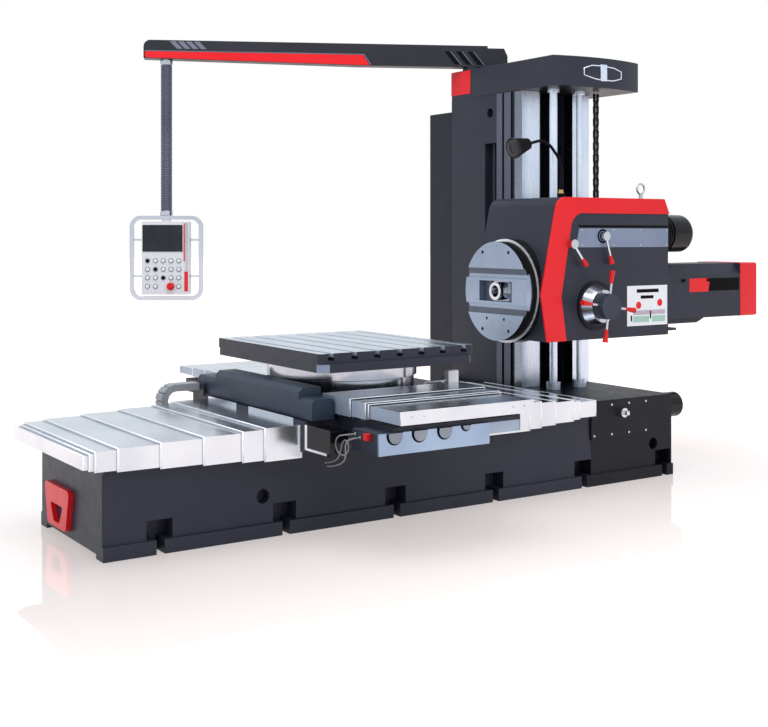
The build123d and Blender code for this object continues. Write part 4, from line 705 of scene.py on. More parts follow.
@dataclass
class ColumnGroup:
    """Column, its ways and cap, the counterweight guard, shafts and chain."""

    chain_x: float = 1.740
    chain_y: float = 0.131
    chain_low: float = 1.323
    chain_top: float = 2.428
    link_pairs: int = 14
    link_radius: float = 0.0125
    link_corners: int = 16
    inner_reach: float = 0.010
    outer_reach: float = 0.015
    plate_thickness: float = 0.003
    pin_radius: float = 0.0075
    pin_half: float = 0.019
    bow_middle: float = 1.6105
    bow_depth: float = 0.072
    bow_radius: float = 1.2124
    emblem_proud: float = 0.001
    rim_radius: float = 0.0042
    rim: tuple[Spot, ...] = (
        (1.455, 2.545), (1.514, 2.566), (1.600, 2.568), (1.710, 2.561), (1.779, 2.543),
        (1.779, 2.497), (1.700, 2.479), (1.600, 2.477), (1.539, 2.483), (1.455, 2.502))
    bar: tuple[Spot, ...] = ((1.586, 2.470), (1.639, 2.472), (1.639, 2.577), (1.586, 2.575))
    bar_middle: float = 1.6125
    bar_thickness: float = 0.008
    corner_plate_low: Spot = (0.830, 2.455)
    corner_plate_high: Spot = (1.045, 2.616)
    corner_plate_thickness: float = 0.003
    side_x: float = 1.240
    strip_edges: tuple[Range, ...] = ((-0.545, -0.488), (-0.466, -0.400))
    strip_low: float = 0.46
    strip_high: float = 2.426
    strip_thickness: float = 0.002

    def build(self) -> None:
        """Dresses the column's nodes, links the chain and adds the cap's bare emblem."""
        Workshop.dress("column", SLATE, 0.004)
        # Painted shade: the ways' faces towards the table take a darker steel than their fronts.
        Workshop.dress("column_ways", WAY_STEEL, 0.002, [(CAP_STEEL, lambda c, n: n.x < -0.5)])
        # Painted shade: the cap's downward faces take the darker slate.
        Workshop.dress("column_cap", SLATE, 0.004, [(DARK_SLATE, lambda c, n: n.z < -0.5)])
        # Painted shade: the guard takes a darker copy of the column's paint.
        Workshop.dress("counterweight_guard", GUARD_SHADE_SLATE, 0.004)
        self.side_strips()
        Workshop.dress("lift_shafts", WAY_STEEL, 0.0015)
        self.chain()
        self.emblem()
        self.corner_plate()

    def side_strips(self) -> None:
        """Adds the two pale strips down the column's side."""
        side = facing((self.side_x, 0.0, 0.0), Axis.TOWARDS_OPERATOR.value, Axis.Z.value)
        strips = [Workshop.sheet((left, self.strip_low), (right, self.strip_high), self.strip_thickness, side,
                                 bevel=0.0006) for left, right in self.strip_edges]
        Workshop.hand_over(Workshop.join(strips), "column_side_strips", "root", EDGE_SLATE, Slot.FRAME)

    def chain(self) -> None:
        """Makes the counterweight's roller chain as one fixed row of links, though the chain shortens as the
        headstock rises.
        """
        pitch = (self.chain_top - self.chain_low) / (2 * self.link_pairs)
        half = pitch / 2
        inner, outer = self.inner_reach, self.outer_reach
        parts = []
        for reach, middle in ((-inner, -half), (inner, -half), (-outer, half), (outer, half)):
            outline = []
            for step in range(self.link_corners):
                angle = 2 * math.pi * step / self.link_corners
                end = half if math.sin(angle) >= 0 else -half
                outline.append((self.link_radius * math.cos(angle), end + self.link_radius * math.sin(angle)))
            origin = (self.chain_x + reach - self.plate_thickness / 2, self.chain_y,
                      self.chain_low + half + middle)
            parts.append(Workshop.plate(outline, self.plate_thickness,
                                        facing(origin, Axis.Y.value, Axis.Z.value), bevel=0.0005))
        for offset in (0.0, pitch):
            end = (self.chain_x - self.pin_half, self.chain_y, self.chain_low + offset)
            parts.append(Workshop.turned([(0.0, self.pin_radius), (2 * self.pin_half, self.pin_radius)], end,
                                         Axis.X.value, sides=16))
        link = Workshop.repeat(Workshop.join(parts), (0.0, 0.0, 2 * pitch), self.link_pairs)
        link.name = "roller_chain"
        Workshop.coat(link, CHAIN_STEEL)
        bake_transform(link)
        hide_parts("headstock_chain")

    def bow(self, x: float, proud: float = 0.0) -> float:
        """Y of the cap's bowed front at an X, or of a surface that stands proud of it."""
        return -self.bow_depth - proud + self.bow_radius - math.sqrt(
            self.bow_radius ** 2 - (x - self.bow_middle) ** 2)

    def emblem(self) -> None:
        """Adds the cap's bare emblem: a bright rim with a bar across its middle."""
        ring = [(x, self.bow(x, self.emblem_proud), z) for x, z in self.rim]
        pieces = [Workshop.ring(ring, self.rim_radius)]
        back = (0.0, self.bow(self.bar_middle) + self.emblem_proud, 0.0)
        pieces.append(Workshop.plate(self.bar, self.bar_thickness, facing(back, Axis.X.value, Axis.Z.value)))
        Workshop.hand_over(Workshop.join(pieces), "cap_emblem", "root", WAY_STEEL, Slot.PANEL)

    def corner_plate(self) -> None:
        """Adds the bare red plate at the cap's left end."""
        low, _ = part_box("column_cap")
        plate = Workshop.box((low.x - self.corner_plate_thickness, *self.corner_plate_low),
                             (low.x, *self.corner_plate_high), bevel=0.0008)
        Workshop.hand_over(plate, "cap_corner_plate", "root", RED, Slot.RED)


Edge = tuple[str, float, int]


@dataclass(frozen=True)
class CoverRow:
    """Section and leading edges of one row of covers."""

    half: float
    top: float
    skirt: float
    step: float
    skirt_step: float
    low_edges: tuple[Edge, ...]
    high_edges: tuple[Edge, ...]


@dataclass
class CoverGroup:
    """Telescopic covers, each with a bright strip folded over its leading edge."""

    strip_width: float = 0.009
    strip_thickness: float = 0.0012
    cross_middle: float = -0.302
    bed_row: CoverRow = CoverRow(
        half=0.505, top=0.508, skirt=0.4445, step=0.0077, skirt_step=0.0065,
        low_edges=(("root", -1.968, 0), ("root", -1.943, 1), ("root", -1.919, 2),
                   ("left_section_2", -1.815, 3), ("left_section_3", -1.611, 4),
                   ("left_section_4", -1.399, 5), ("left_section_5", -1.200, 6), ("saddle", -1.084, 7)),
        high_edges=(("root", 1.124, 2), ("right_section_5", 0.991, 3), ("right_section_4", 0.936, 4),
                    ("right_section_3", 0.791, 5), ("right_section_2", 0.679, 6), ("saddle", 0.587, 7)))
    cross_row: CoverRow = CoverRow(
        half=0.3965, top=0.680, skirt=0.619, step=0.006, skirt_step=0.003,
        low_edges=(("saddle", -1.164, 0), ("near_section_2", -0.901, 1), ("near_section_3", -0.882, 2),
                   ("cross_slide", -0.754, 3)),
        high_edges=(("saddle", 1.320, -2), ("far_section_2", 1.115, -1), ("cross_slide", 0.929, 0)))

    def build(self) -> None:
        """Dresses the moving covers and folds a strip over each leading edge."""
        names = ["saddle_covers"]
        for side, indices in (("left", range(2, 6)), ("right", range(2, 6)), ("near", range(1, 5)),
                              ("far", range(1, 4))):
            names += [f"{side}_cover_{index}" for index in indices]
        for name in names:
            # Painted shade: the cross covers' faces towards the table take the darker cover tone.
            zones = [(COVER_SIDE_SHADE, lambda c, n: n.x < -0.9)] if name.startswith(("near", "far")) else []
            Workshop.dress(name, COVER, 0.0006, zones)
        strips: dict[str, list[Piece]] = {}
        self.fold(self.bed_row, strips,
                  lambda x: facing((x, 0.0, 0.0), Axis.Y.value, Axis.Z.value))
        self.fold(self.cross_row, strips,
                  lambda y: facing((self.cross_middle, y, 0.0), Axis.TOWARDS_TABLE.value, Axis.Z.value))
        for body, parts in strips.items():
            Workshop.hand_over(Workshop.join(parts), f"edge_strips_{body}", body, COVER_EDGE, Slot.COVER)

    def fold(self, row: CoverRow, strips: dict[str, list[Piece]],
             place: Callable[[float], Matrix]) -> None:
        """Folds a strip over each edge of a row.

        Args:
            row: The row of covers.
            strips: The strips of each body, to which the new ones are added.
            place: Gives the frame of a strip's face from where the strip starts.
        """
        for edges, shift in ((row.low_edges, 0.0), (row.high_edges, -self.strip_width)):
            for body, start, level in edges:
                strips.setdefault(body, []).append(self.strip(row, level, place(start + shift)))

    def strip(self, row: CoverRow, level: int, place: Matrix) -> Piece:
        """One strip folded over a cover's edge.

        Args:
            row: The cover's row.
            level: How many steps the cover stands above the row's size, or below it where negative.
            place: The frame of the strip's face, with the cover's middle as origin.

        Returns:
            The new piece.
        """
        half, top = row.half + level * row.step, row.top + level * row.step
        skirt = row.skirt - level * row.skirt_step
        outer, over = half + self.strip_thickness, top + self.strip_thickness
        outline = [(-outer, skirt), (-outer, over), (outer, over), (outer, skirt),
                   (half, skirt), (half, top), (-half, top), (-half, skirt)]
        return Workshop.plate(outline, self.strip_width, place, bevel=0.0002)


@dataclass
class SaddleGroup:
    """Saddle, its front gearbox and drive box, and the oil hoses."""

    hose_diameter: float = 0.007
    long_hose: tuple[Point, ...] = (
        (-0.790, -0.905, 0.556), (-0.822, -0.905, 0.556), (-0.840, -0.876, 0.552), (-0.840, -0.838, 0.540),
        (-0.834, -0.806, 0.514), (-0.828, -0.798, 0.478), (-0.820, -0.820, 0.450), (-0.812, -0.852, 0.448),
        (-0.804, -0.876, 0.472), (-0.799, -0.870, 0.506), (-0.797, -0.838, 0.522), (-0.797, -0.806, 0.502),
        (-0.799, -0.796, 0.464), (-0.800, -0.780, 0.426), (-0.802, -0.745, 0.405), (-0.805, -0.705, 0.392),
        (-0.808, -0.666, 0.384))
    short_hose: tuple[Point, ...] = (
        (-0.790, -0.950, 0.545), (-0.822, -0.950, 0.545), (-0.838, -0.922, 0.534), (-0.836, -0.898, 0.508),
        (-0.828, -0.888, 0.472), (-0.818, -0.870, 0.438), (-0.812, -0.838, 0.414), (-0.808, -0.800, 0.398),
        (-0.806, -0.762, 0.386), (-0.808, -0.724, 0.377), (-0.810, -0.690, 0.371))
    long_length: float = 0.574
    short_length: float = 0.365
    plate_front: float = -1.0945
    connector_front: float = -0.99
    gland_ends: Range = (-0.97, -0.89)
    rivet_radius: float = 0.005
    rivet_z: float = 0.655
    rivet_insets: Range = (0.06, 0.13)
    sheet_thickness: float = 0.0015
    wing_front: float = -1.082
    wing_sheet: tuple[Spot, Spot] = ((-0.125, 0.520), (0.072, 0.576))
    bracket_x: float = -0.873
    bracket: tuple[Spot, ...] = (
        (0.583, 0.441), (0.790, 0.441), (0.790, 0.453), (0.604, 0.453), (0.604, 0.565), (0.583, 0.565))

    def hoses(self) -> None:
        """Hangs the two oil hoses, which come out of the gearbox and go back under the saddle."""
        for name, node, points, length in (
                ("long_oil_hose", "oil_hose_1", self.long_hose, self.long_length),
                ("short_oil_hose", "oil_hose_2", self.short_hose, self.short_length)):
            hose = Workshop.curve(name, "NURBS", points, self.hose_diameter / 2, rings=3)
            hose.data.resolution_u = 8
            hose.data.use_fill_caps = True
            spline = hose.data.splines[0]
            spline.order_u = 3
            spline.use_endpoint_u = True
            hose.data.materials.append(PALETTE.of(HOSE))
            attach(hose, "saddle")
            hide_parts(node)

    def build(self) -> None:
        """Dresses the saddle's nodes."""
        Workshop.dress("saddle", SLATE, 0.003)
        Workshop.dress("saddle_front_plate", CAP_STEEL, 0.001, [
            (FRONT_PLATE, lambda c, n: c.y > self.plate_front)])
        Workshop.dress("saddle_motor", BLACK, 0.002, [
            (RED_GRIP, lambda c, n: c.y < self.connector_front),
            (CHROME, lambda c, n: self.gland_ends[0] < c.y < self.gland_ends[1])])
        Workshop.dress("energy_chain", CHAIN_LINK, 0.0015)
        self.rivets()
        side = facing((self.bracket_x, 0.0, 0.0), Axis.TOWARDS_OPERATOR.value, Axis.Z.value)
        Workshop.hand_over(Workshop.plate(self.bracket, self.sheet_thickness, side), "drive_box_bracket_edge",
                           "saddle", COVER_EDGE, Slot.COVER)
        # The wing's side sheet takes the same darker cover tone that stands in for shade on the covers'
        # sides.
        front = facing((0.0, self.wing_front, 0.0), Axis.X.value, Axis.Z.value)
        Workshop.hand_over(Workshop.sheet(*self.wing_sheet, self.sheet_thickness, front), "wing_side_sheet",
                           "saddle", COVER_SIDE_SHADE, Slot.COVER)

    def rivets(self) -> None:
        """Fits rivets along the near apron of the cross covers."""
        low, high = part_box("near_cover_1")
        outer, inner = self.rivet_insets
        places = [(x, low.y, self.rivet_z)
                  for x in (low.x + outer, low.x + inner, high.x - inner, high.x - outer)]
        rivets = Workshop.screws(places, self.rivet_radius, Axis.TOWARDS_OPERATOR)
        Workshop.hand_over(rivets, "apron_rivets", "saddle", CHROME, Slot.STEEL)


@dataclass
class TableGroup:
    """Cross slide, turntable and T-slotted table."""

    plain: tuple[Look, ...] = (
        ("cross_beam", BEAM_SLATE, 0.004), ("switch_box", WHITE, 0.002), ("rotary_ring", RING_STEEL, 0.002))
    seat_low: float = 0.656
    top_low: float = 0.903
    slot_low: float = 0.8785
    slot_inset: float = 0.01
    skirt_top: float = 0.851

    def build(self) -> None:
        """Dresses the table's nodes."""
        Workshop.dress("cross_slide", DARK_SLATE, 0.003, [(RING_STEEL, lambda c, n: c.z > self.seat_low)])
        dress_plain(self.plain)
        low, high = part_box("table")
        left, right = low.x + self.slot_inset, high.x - self.slot_inset
        Workshop.dress("table", SLATE, 0.0015, [
            # Painted highlight: the chamfer at the table's near left corner takes a lighter blue-grey metal
            # for the light it catches.
            (PANEL_BLUE, lambda c, n: n.x < -0.4 and n.y < -0.4 and c.z < self.skirt_top),
            (TABLE_TOP, lambda c, n: n.z > 0.5 and c.z > self.top_low),
            # Partly painted highlight: the machined slot walls near the top take a paler steel than the table
            # top, standing in for the bright slot edges.
            (WAY_STEEL, lambda c, n: abs(n.x) > 0.9 and c.z > self.slot_low and left < c.x < right)])


Mark = tuple[str, Finish, Slot, tuple[tuple[Spot, Spot], ...]]


@dataclass
class HeadstockGroup:
    """Headstock, its band, panels, motor, tail and lamp."""

    plain: tuple[Look, ...] = (
        ("way_keepers", SLATE, 0.002), ("headstock_band", RED, 0.003), ("label_plate", WHITE, 0.0006),
        ("rear_motor", BLACK, 0.003), ("work_lamp", BLACK_PLASTIC, 0.002), ("oil_gauge", CHROME, 0.002))
    face_y: float = -0.317
    ring_x: float = 0.863
    seat_x: float = 0.975
    seat_radius: float = 0.330
    centre_z: float = 1.151
    panel_thickness: float = 0.003
    panel: tuple[Spot, ...] = ((1.150, 1.417), (1.936, 1.414), (1.936, 1.532), (1.177, 1.532))
    seam: tuple[Spot, ...] = ((1.175, 1.537), (1.936, 1.536), (1.936, 1.550), (1.175, 1.551))
    seam_thickness: float = 0.0012
    screw_columns: tuple[float, ...] = (1.20, 1.46, 1.69, 1.92)
    screw_rows: Range = (1.428, 1.521)
    screw_radius: float = 0.005
    collar: tuple[Step, ...] = (
        (-0.001, 0.044), (0.003, 0.044), (0.004, 0.042), (0.004, 0.032), (-0.001, 0.031))
    feed_lever: Spot = (1.370, 1.484)
    label_low: Spot = (1.576, 0.924)
    label_y: float = -0.320
    label_thickness: float = 0.0006
    marks: tuple[Mark, ...] = (
        ("label_black_marks", BLACK_PLASTIC, Slot.LAMP, (
            ((0.082, 0.206), (0.274, 0.228)), ((0.116, 0.168), (0.228, 0.188)),
            ((0.030, 0.030), (0.042, 0.066)), ((0.196, 0.042), (0.208, 0.092)))),
        ("label_violet_band", VIOLET_MARK, Slot.PANEL, (((0.052, 0.068), (0.332, 0.096)),)),
        ("label_green_band", GREEN_MARK, Slot.PANEL, (
            ((0.052, 0.022), (0.190, 0.060)), ((0.216, 0.022), (0.332, 0.060)))))
    dots: tuple[Spot, ...] = ((0.098, 0.128), (0.284, 0.140))
    dot_radius: float = 0.023
    dot_height: float = 0.0012
    tail_y: float = -0.194
    tail_strip_y: float = -0.1945
    red_plate: tuple[Spot, ...] = ((2.268, 1.112), (2.450, 1.112), (2.466, 1.202), (2.268, 1.202))
    red_thickness: float = 0.002
    black_plate: tuple[Spot, ...] = ((2.456, 1.116), (2.755, 1.116), (2.755, 1.200), (2.472, 1.200))
    black_thickness: float = 0.0015
    lamp_tip: Point = (0.8091, -0.144, 2.0089)
    lamp_axis: Point = (-0.9659, 0.0, -0.2588)
    lens: tuple[Step, ...] = ((0.0, 0.055), (0.004, 0.052), (0.006, 0.040), (0.007, 0.020))
    rim: tuple[Step, ...] = ((-0.010, 0.0635), (0.003, 0.0635), (0.003, 0.056), (-0.001, 0.056))
    lamp_base: Point = (1.188, -0.144, 1.746)
    fitting: tuple[Step, ...] = (
        (0.0, 0.016), (0.010, 0.016), (0.010, 0.0135), (0.022, 0.0135), (0.024, 0.0095))

    def build(self) -> None:
        """Dresses the headstock's nodes and adds its panels."""
        Workshop.dress("headstock", SLATE, 0.004, [
            (COVER_EDGE, lambda c, n: n.x < -0.5 and c.x < self.ring_x),
            # Painted shade: the side walls of the ring round the facing head's seat take near-black paint.
            (BLACK, lambda c, n: (abs(n.x) < 0.5 and c.x < self.seat_x
                                  and math.hypot(c.y, c.z - self.centre_z) < self.seat_radius))])
        dress_plain(self.plain)
        Workshop.dress("tail_housing", SLATE, 0.003, [(BLACK_PLASTIC, lambda c, n: c.y < self.tail_strip_y)])
        Workshop.dress("tail_cap", RED, 0.006, [(SLATE, lambda c, n: n.x < -0.9)])
        self.gear_panel()
        self.label_marks()
        self.tail_plates()
        self.lamp_parts()

    def front(self, y: float) -> Matrix:
        """The frame of a face turned to the operator at a Y, with the machine's X and Z as its X and Y."""
        return facing((0.0, y, 0.0), Axis.X.value, Axis.Z.value)

    def gear_panel(self) -> None:
        """Adds the slanted gear panel with its screws, the seam above it and the feed lever's collar."""
        face = self.front(self.face_y)
        strip = Workshop.plate(self.panel, self.panel_thickness, face)
        Workshop.hand_over(strip, "gear_panel", "headstock", PANEL_BLUE, Slot.PANEL)
        seam = Workshop.plate(self.seam, self.seam_thickness, face, bevel=0.0002)
        Workshop.hand_over(seam, "panel_seam", "headstock", BLACK_PLASTIC, Slot.LAMP)
        places = [(x, self.face_y - self.panel_thickness, z)
                  for x in self.screw_columns for z in self.screw_rows]
        screws = Workshop.screws(places, self.screw_radius, Axis.TOWARDS_OPERATOR)
        Workshop.hand_over(screws, "panel_screws", "headstock", CHROME, Slot.STEEL)
        x, z = self.feed_lever
        collar = Workshop.turned(self.collar, (x, self.face_y, z), Axis.TOWARDS_OPERATOR.value)
        Workshop.hand_over(collar, "feed_lever_collar", "headstock", BLACK_PLASTIC, Slot.LAMP)

    def label_marks(self) -> None:
        """Adds the label's bands and dots, with no words."""
        x, z = self.label_low
        face = self.front(self.label_y) @ Matrix.Translation((x, z, 0.0))
        for name, finish, slot, areas in self.marks:
            pieces = [Workshop.sheet(*area, self.label_thickness, face, bevel=0.0001) for area in areas]
            Workshop.hand_over(Workshop.join(pieces), name, "headstock", finish, slot)
        places = [(x + right, self.label_y, z + up) for right, up in self.dots]
        dots = Workshop.screws(places, self.dot_radius, Axis.TOWARDS_OPERATOR, self.dot_height)
        Workshop.hand_over(dots, "label_red_dots", "headstock", RED, Slot.RED)

    def tail_plates(self) -> None:
        """Adds the bare red and black plates on the tail's near side."""
        face = self.front(self.tail_y)
        red = Workshop.plate(self.red_plate, self.red_thickness, face)
        Workshop.hand_over(red, "tail_red_plate", "headstock", RED, Slot.RED)
        black = Workshop.plate(self.black_plate, self.black_thickness, face)
        Workshop.hand_over(black, "tail_black_plate", "headstock", BLACK_PLASTIC, Slot.BLACK)

    def lamp_parts(self) -> None:
        """Adds the lamp's lens and rim, and the brass fitting at its foot."""
        lens = Workshop.turned(self.lens, self.lamp_tip, self.lamp_axis, sides=32)
        Workshop.hand_over(lens, "lamp_lens", "headstock", SCREEN, Slot.LAMP)
        rim = Workshop.turned(self.rim, self.lamp_tip, self.lamp_axis, sides=48)
        Workshop.hand_over(rim, "lamp_rim", "headstock", BLACK, Slot.LAMP)
        brass = Workshop.turned(self.fitting, self.lamp_base, Axis.Z.value, sides=6)
        Workshop.hand_over(brass, "lamp_brass_fitting", "headstock", BRASS, Slot.CONTROL)


@dataclass
class SpindleGroup:
    """Facing head, its slide, the sleeve and the spindle."""

    head_radius: float = 0.295
    centre_z: float = 1.151
    floor_x: float = 0.7995

    def build(self) -> None:
        """Dresses the spindle's nodes."""
        Workshop.dress("facing_head", HEAD_STEEL, 0.002, [
            # Painted shade: the head's recessed floor, facing the table, takes a darker copy of its steel.
            (HEAD_FLOOR_SHADE, lambda c, n: c.x > self.floor_x and n.x < -0.5),
            (BLACK_PLASTIC, lambda c, n: (n.x > -0.9
                                          and math.hypot(c.y, c.z - self.centre_z) > self.head_radius))])
        Workshop.dress("facing_slide", HEAD_STEEL, 0.002)
        Workshop.dress("spindle_sleeve", STEEL, 0.0015)
        Workshop.dress("spindle", CHROME, 0.0015)


@dataclass
class ControlGroup:
    """Handwheel and levers."""

    wheel: Spot = (1.310, 1.062)
    flange_front: float = -0.3314
    dial_front: float = -0.3934
    hub_radius: float = 0.079
    grip_from: float = 0.134
    levers: tuple[tuple[str, float, float, float], ...] = (
        ("speed_lever", 1.098, 1.437, 0.110), ("feed_lever", 1.370, 1.484, 0.122))

    def build(self) -> None:
        """Dresses the handwheel and the levers: chrome bars with red grips."""
        def away(centre: Vector, x: float, z: float) -> float:
            """How far a face's centre lies from a shaft at x and z."""
            return math.hypot(centre.x - x, centre.z - z)

        Workshop.dress("pilot_wheel", CHROME, 0.0012, [
            (RED_GRIP, lambda c, n: away(c, *self.wheel) > self.grip_from and c.y < self.flange_front),
            (HUB_SLATE, lambda c, n: away(c, *self.wheel) < self.hub_radius and c.y < self.dial_front),
            (STEEL, lambda c, n: self.dial_front < c.y < self.flange_front),
            (DARK_SLATE, lambda c, n: c.y >= self.flange_front)])
        for name, x, z, grip_from in self.levers:
            Workshop.dress(name, CHROME, 0.0012, [(RED_GRIP, lambda c, n: away(c, x, z) > grip_from)])


@dataclass(frozen=True)
class Bands:
    """A row of slanted bands on the arm's side, from the outermost one inwards.

    reach is that of the first band's upper outer corner.
    """

    count: int
    reach: float
    pitch: float
    width: float
    low: float
    high: float
    slant: float

    def outlines(self) -> list[list[Spot]]:
        """The corners of each band on the arm's side."""
        tops = [self.pitch * step - self.reach for step in range(self.count)]
        return [[(top + self.slant, self.low), (top + self.slant + self.width, self.low),
                 (top + self.width, self.high), (top, self.high)] for top in tops]


@dataclass
class PendantGroup:
    """Swinging arm and the control pendant that hangs from it."""

    plain: tuple[Look, ...] = (
        ("pendant_frame", FRAME_SILVER, 0.002), ("pendant_box", PALE_PANEL, 0.002))
    turn_deg: float = -33.6
    pivot: Point = (1.325, 0.931, 0.0)
    arm_angle_deg: float = 153.3
    reach: float = 2.085
    width: float = 0.317
    height: float = 0.491
    depth: float = 0.090
    centre_z: float = 1.335
    arm_half: float = 0.055
    trim_thickness: float = 0.004
    trim: tuple[Spot, ...] = (
        (-2.214, 2.6745), (-0.790, 2.6475), (-0.715, 2.6475), (-0.762, 2.716), (-2.224, 2.716),
        (-2.224, 2.684))
    trim_line: tuple[Spot, ...] = (
        (-2.224, 2.7185), (-0.757, 2.7185), (-0.712, 2.6525), (-0.704, 2.6525), (-0.753, 2.7235),
        (-2.224, 2.7235))
    mark_thickness: float = 0.001
    bars: Bands = Bands(count=4, reach=2.062, pitch=0.053, width=0.038, low=2.736, high=2.786, slant=0.050)
    lines: Bands = Bands(count=3, reach=0.158, pitch=0.080, width=0.006, low=2.662, high=2.752, slant=0.074)
    slots: Bands = Bands(count=3, reach=0.200, pitch=0.080, width=0.036, low=2.662, high=2.752, slant=0.074)
    bare_below: float = 1.652
    bare_above: float = 2.6312
    rib_low: float = 1.6525
    rib_high: float = 2.6305
    rib_count: int = 61
    rib_radii: Range = (0.0352, 0.0388)
    screen_low: Point = (0.006, -0.203, 0.0)
    screen_high: Point = (0.274, -0.024, 0.004)
    columns: tuple[float, ...] = (0.040, 0.093, 0.145, 0.197, 0.249)
    rows: tuple[float, ...] = (-0.264, -0.321, -0.378, -0.435)
    key_radius: float = 0.0165
    dark_keys: tuple[tuple[int, int], ...] = ((0, 0), (1, 1), (2, 2))
    stop_key: tuple[int, int] = (3, 3)
    no_keys: tuple[tuple[int, int], ...] = ((3, 2), (3, 3))
    stop_button: tuple[Step, ...] = (
        (0.0, 0.014), (0.012, 0.014), (0.014, 0.025), (0.024, 0.026), (0.028, 0.020))
    red_strips: tuple[tuple[Spot, Spot], ...] = (
        ((0.281, -0.268), (0.289, -0.012)), ((0.286, -0.468), (0.310, -0.336)))
    strip_height: float = 0.003
    bar_low: Point = (0.293, -0.330, 0.0)
    bar_high: Point = (0.309, -0.010, 0.004)

    def along(self, reach: float) -> Spot:
        """The X and Y of a point on the arm's middle line at a reach from its pivot."""
        angle = math.radians(self.arm_angle_deg)
        return self.pivot[0] + reach * math.cos(angle), self.pivot[1] + reach * math.sin(angle)

    def place(self) -> Matrix:
        """The frame of the panel's front face, with its origin at the top left corner and X to the right."""
        turned = (Matrix.Translation((*self.along(self.reach), self.centre_z))
                  @ Matrix.Rotation(math.radians(self.turn_deg), 4, "Z"))
        corner = (-self.width / 2, -self.depth / 2, self.height / 2)
        return turned @ facing(corner, Axis.X.value, Axis.Z.value)

    def arm_side(self) -> Matrix:
        """The frame of the arm's near side: minus the reach along its X, the height as its Y."""
        angle = math.radians(self.arm_angle_deg)
        right = (-math.cos(angle), -math.sin(angle), 0.0)
        out = Vector(right).cross(Vector(Axis.Z.value))
        return facing(Vector((*self.pivot[:2], 0.0)) + out * self.arm_half, right, Axis.Z.value)

    def build(self) -> None:
        """Dresses the arm and pendant and fits the panel's parts."""
        Workshop.dress("arm", ARM_SLATE, 0.003)
        Workshop.dress("hanging_tube", SLEEVE, 0.002, [
            (CHROME, lambda c, n: not self.bare_below <= c.z <= self.bare_above)])
        dress_plain(self.plain)
        trim = Workshop.plate(self.trim, self.trim_thickness, self.arm_side())
        Workshop.hand_over(trim, "arm_red_trim", "arm", RED, Slot.RED)
        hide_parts("arm_trim")
        self.arm_marks()
        self.tube_ribs()
        self.panel()

    def arm_marks(self) -> None:
        """Adds the arm's slanted marks and the thin line over its trim."""
        side = self.arm_side()
        for name, finish, slot, outlines in (
                ("arm_light_marks", ARM_MARK, Slot.PANEL,
                 [*self.bars.outlines(), *self.lines.outlines(), self.trim_line]),
                ("arm_dark_marks", BLACK_PLASTIC, Slot.LAMP, self.slots.outlines())):
            marks = [Workshop.plate(outline, self.mark_thickness, side, bevel=0.0002) for outline in outlines]
            Workshop.hand_over(Workshop.join(marks), name, "arm", finish, slot)

    def tube_ribs(self) -> None:
        """Wraps the hanging tube in a ribbed sleeve."""
        pitch = (self.rib_high - self.rib_low) / self.rib_count
        inner, outer = self.rib_radii
        steps = [(0.0, inner), (0.25 * pitch, outer), (0.65 * pitch, outer), (0.9 * pitch, inner),
                 (pitch, inner)]
        foot = (*self.along(self.reach), self.rib_low)
        rib = Workshop.turned(steps, foot, Axis.Z.value, sides=32)
        sleeve = Workshop.repeat(rib, (0.0, 0.0, pitch), self.rib_count)
        Workshop.hand_over(sleeve, "tube_sleeve", "arm", SLEEVE, Slot.FRAME)

    def panel(self) -> None:
        """Fits the screen, the keys, the stop button and the side strips."""
        face = self.place()
        out = face.to_3x3() @ Vector(Axis.Z.value)
        screen = Workshop.box(self.screen_low, self.screen_high, bevel=0.0012, place=face)
        Workshop.hand_over(screen, "pendant_screen", "pendant", SCREEN, Slot.PANEL)
        self.keys(face, out)
        row, column = self.stop_key
        centre = face @ Vector((self.columns[column], self.rows[row], 0.0))
        stop = Workshop.turned(self.stop_button, centre, out, sides=32)
        Workshop.hand_over(stop, "pendant_stop_button", "pendant", RED_GRIP, Slot.RED)
        strips = [Workshop.box((*low, 0.0), (*high, self.strip_height), bevel=0.0008, place=face)
                  for low, high in self.red_strips]
        Workshop.hand_over(Workshop.join(strips), "pendant_red_strips", "pendant", RED, Slot.RED)
        bar = Workshop.box(self.bar_low, self.bar_high, bevel=0.0012, place=face)
        Workshop.hand_over(bar, "pendant_silver_bar", "pendant", RING_STEEL, Slot.FRAME)

    def keys(self, face: Matrix, out: Vector) -> None:
        """Fits the round keys, each a cap inside a rim.

        Args:
            face: The panel's frame.
            out: The direction out of the panel.
        """
        radius = self.key_radius
        rim = [(0.0, radius), (0.003, radius), (0.004, radius * 0.94), (0.004, radius * 0.72),
               (0.001, radius * 0.70)]
        cap = [(0.0, radius * 0.68), (0.006, radius * 0.68), (0.007, radius * 0.58)]
        rims, dark, light = [], [], []
        for row, y in enumerate(self.rows):
            for column, x in enumerate(self.columns):
                if (row, column) in self.no_keys:
                    continue
                place = face @ Vector((x, y, 0.0))
                rims.append(Workshop.turned(rim, place, out, sides=24))
                caps = dark if (row, column) in self.dark_keys else light
                caps.append(Workshop.turned(cap, place, out, sides=20))
        for name, parts, finish, slot in (("pendant_key_rims", rims, GREY_PLASTIC, Slot.PANEL),
                                          ("pendant_dark_keys", dark, BLACK_PLASTIC, Slot.LAMP),
                                          ("pendant_light_keys", light, WHITE, Slot.PANEL)):
            Workshop.hand_over(Workshop.join(parts), name, "pendant", finish, slot)


@dataclass(frozen=True)
class Lamp:
    """A square area lamp; only a mirrored one shows in what it lights."""

    name: str
    place: Point
    size: float
    power: float
    aim: Point
    colour: Colour
    mirrored: bool = False

    def hang(self) -> None:
        """Adds the lamp to the scene."""
        data = bpy.data.lights.new(self.name, "AREA")
        data.shape = "SQUARE"
        data.size = self.size
        data.energy = self.power
        data.color = self.colour
        lamp = bpy.data.objects.new(self.name, data)
        lamp.location = self.place
        lamp.visible_glossy = self.mirrored
        lamp.rotation_euler = (Vector(self.aim) - Vector(self.place)).to_track_quat("-Z", "Y").to_euler()
        bpy.context.scene.collection.objects.link(lamp)


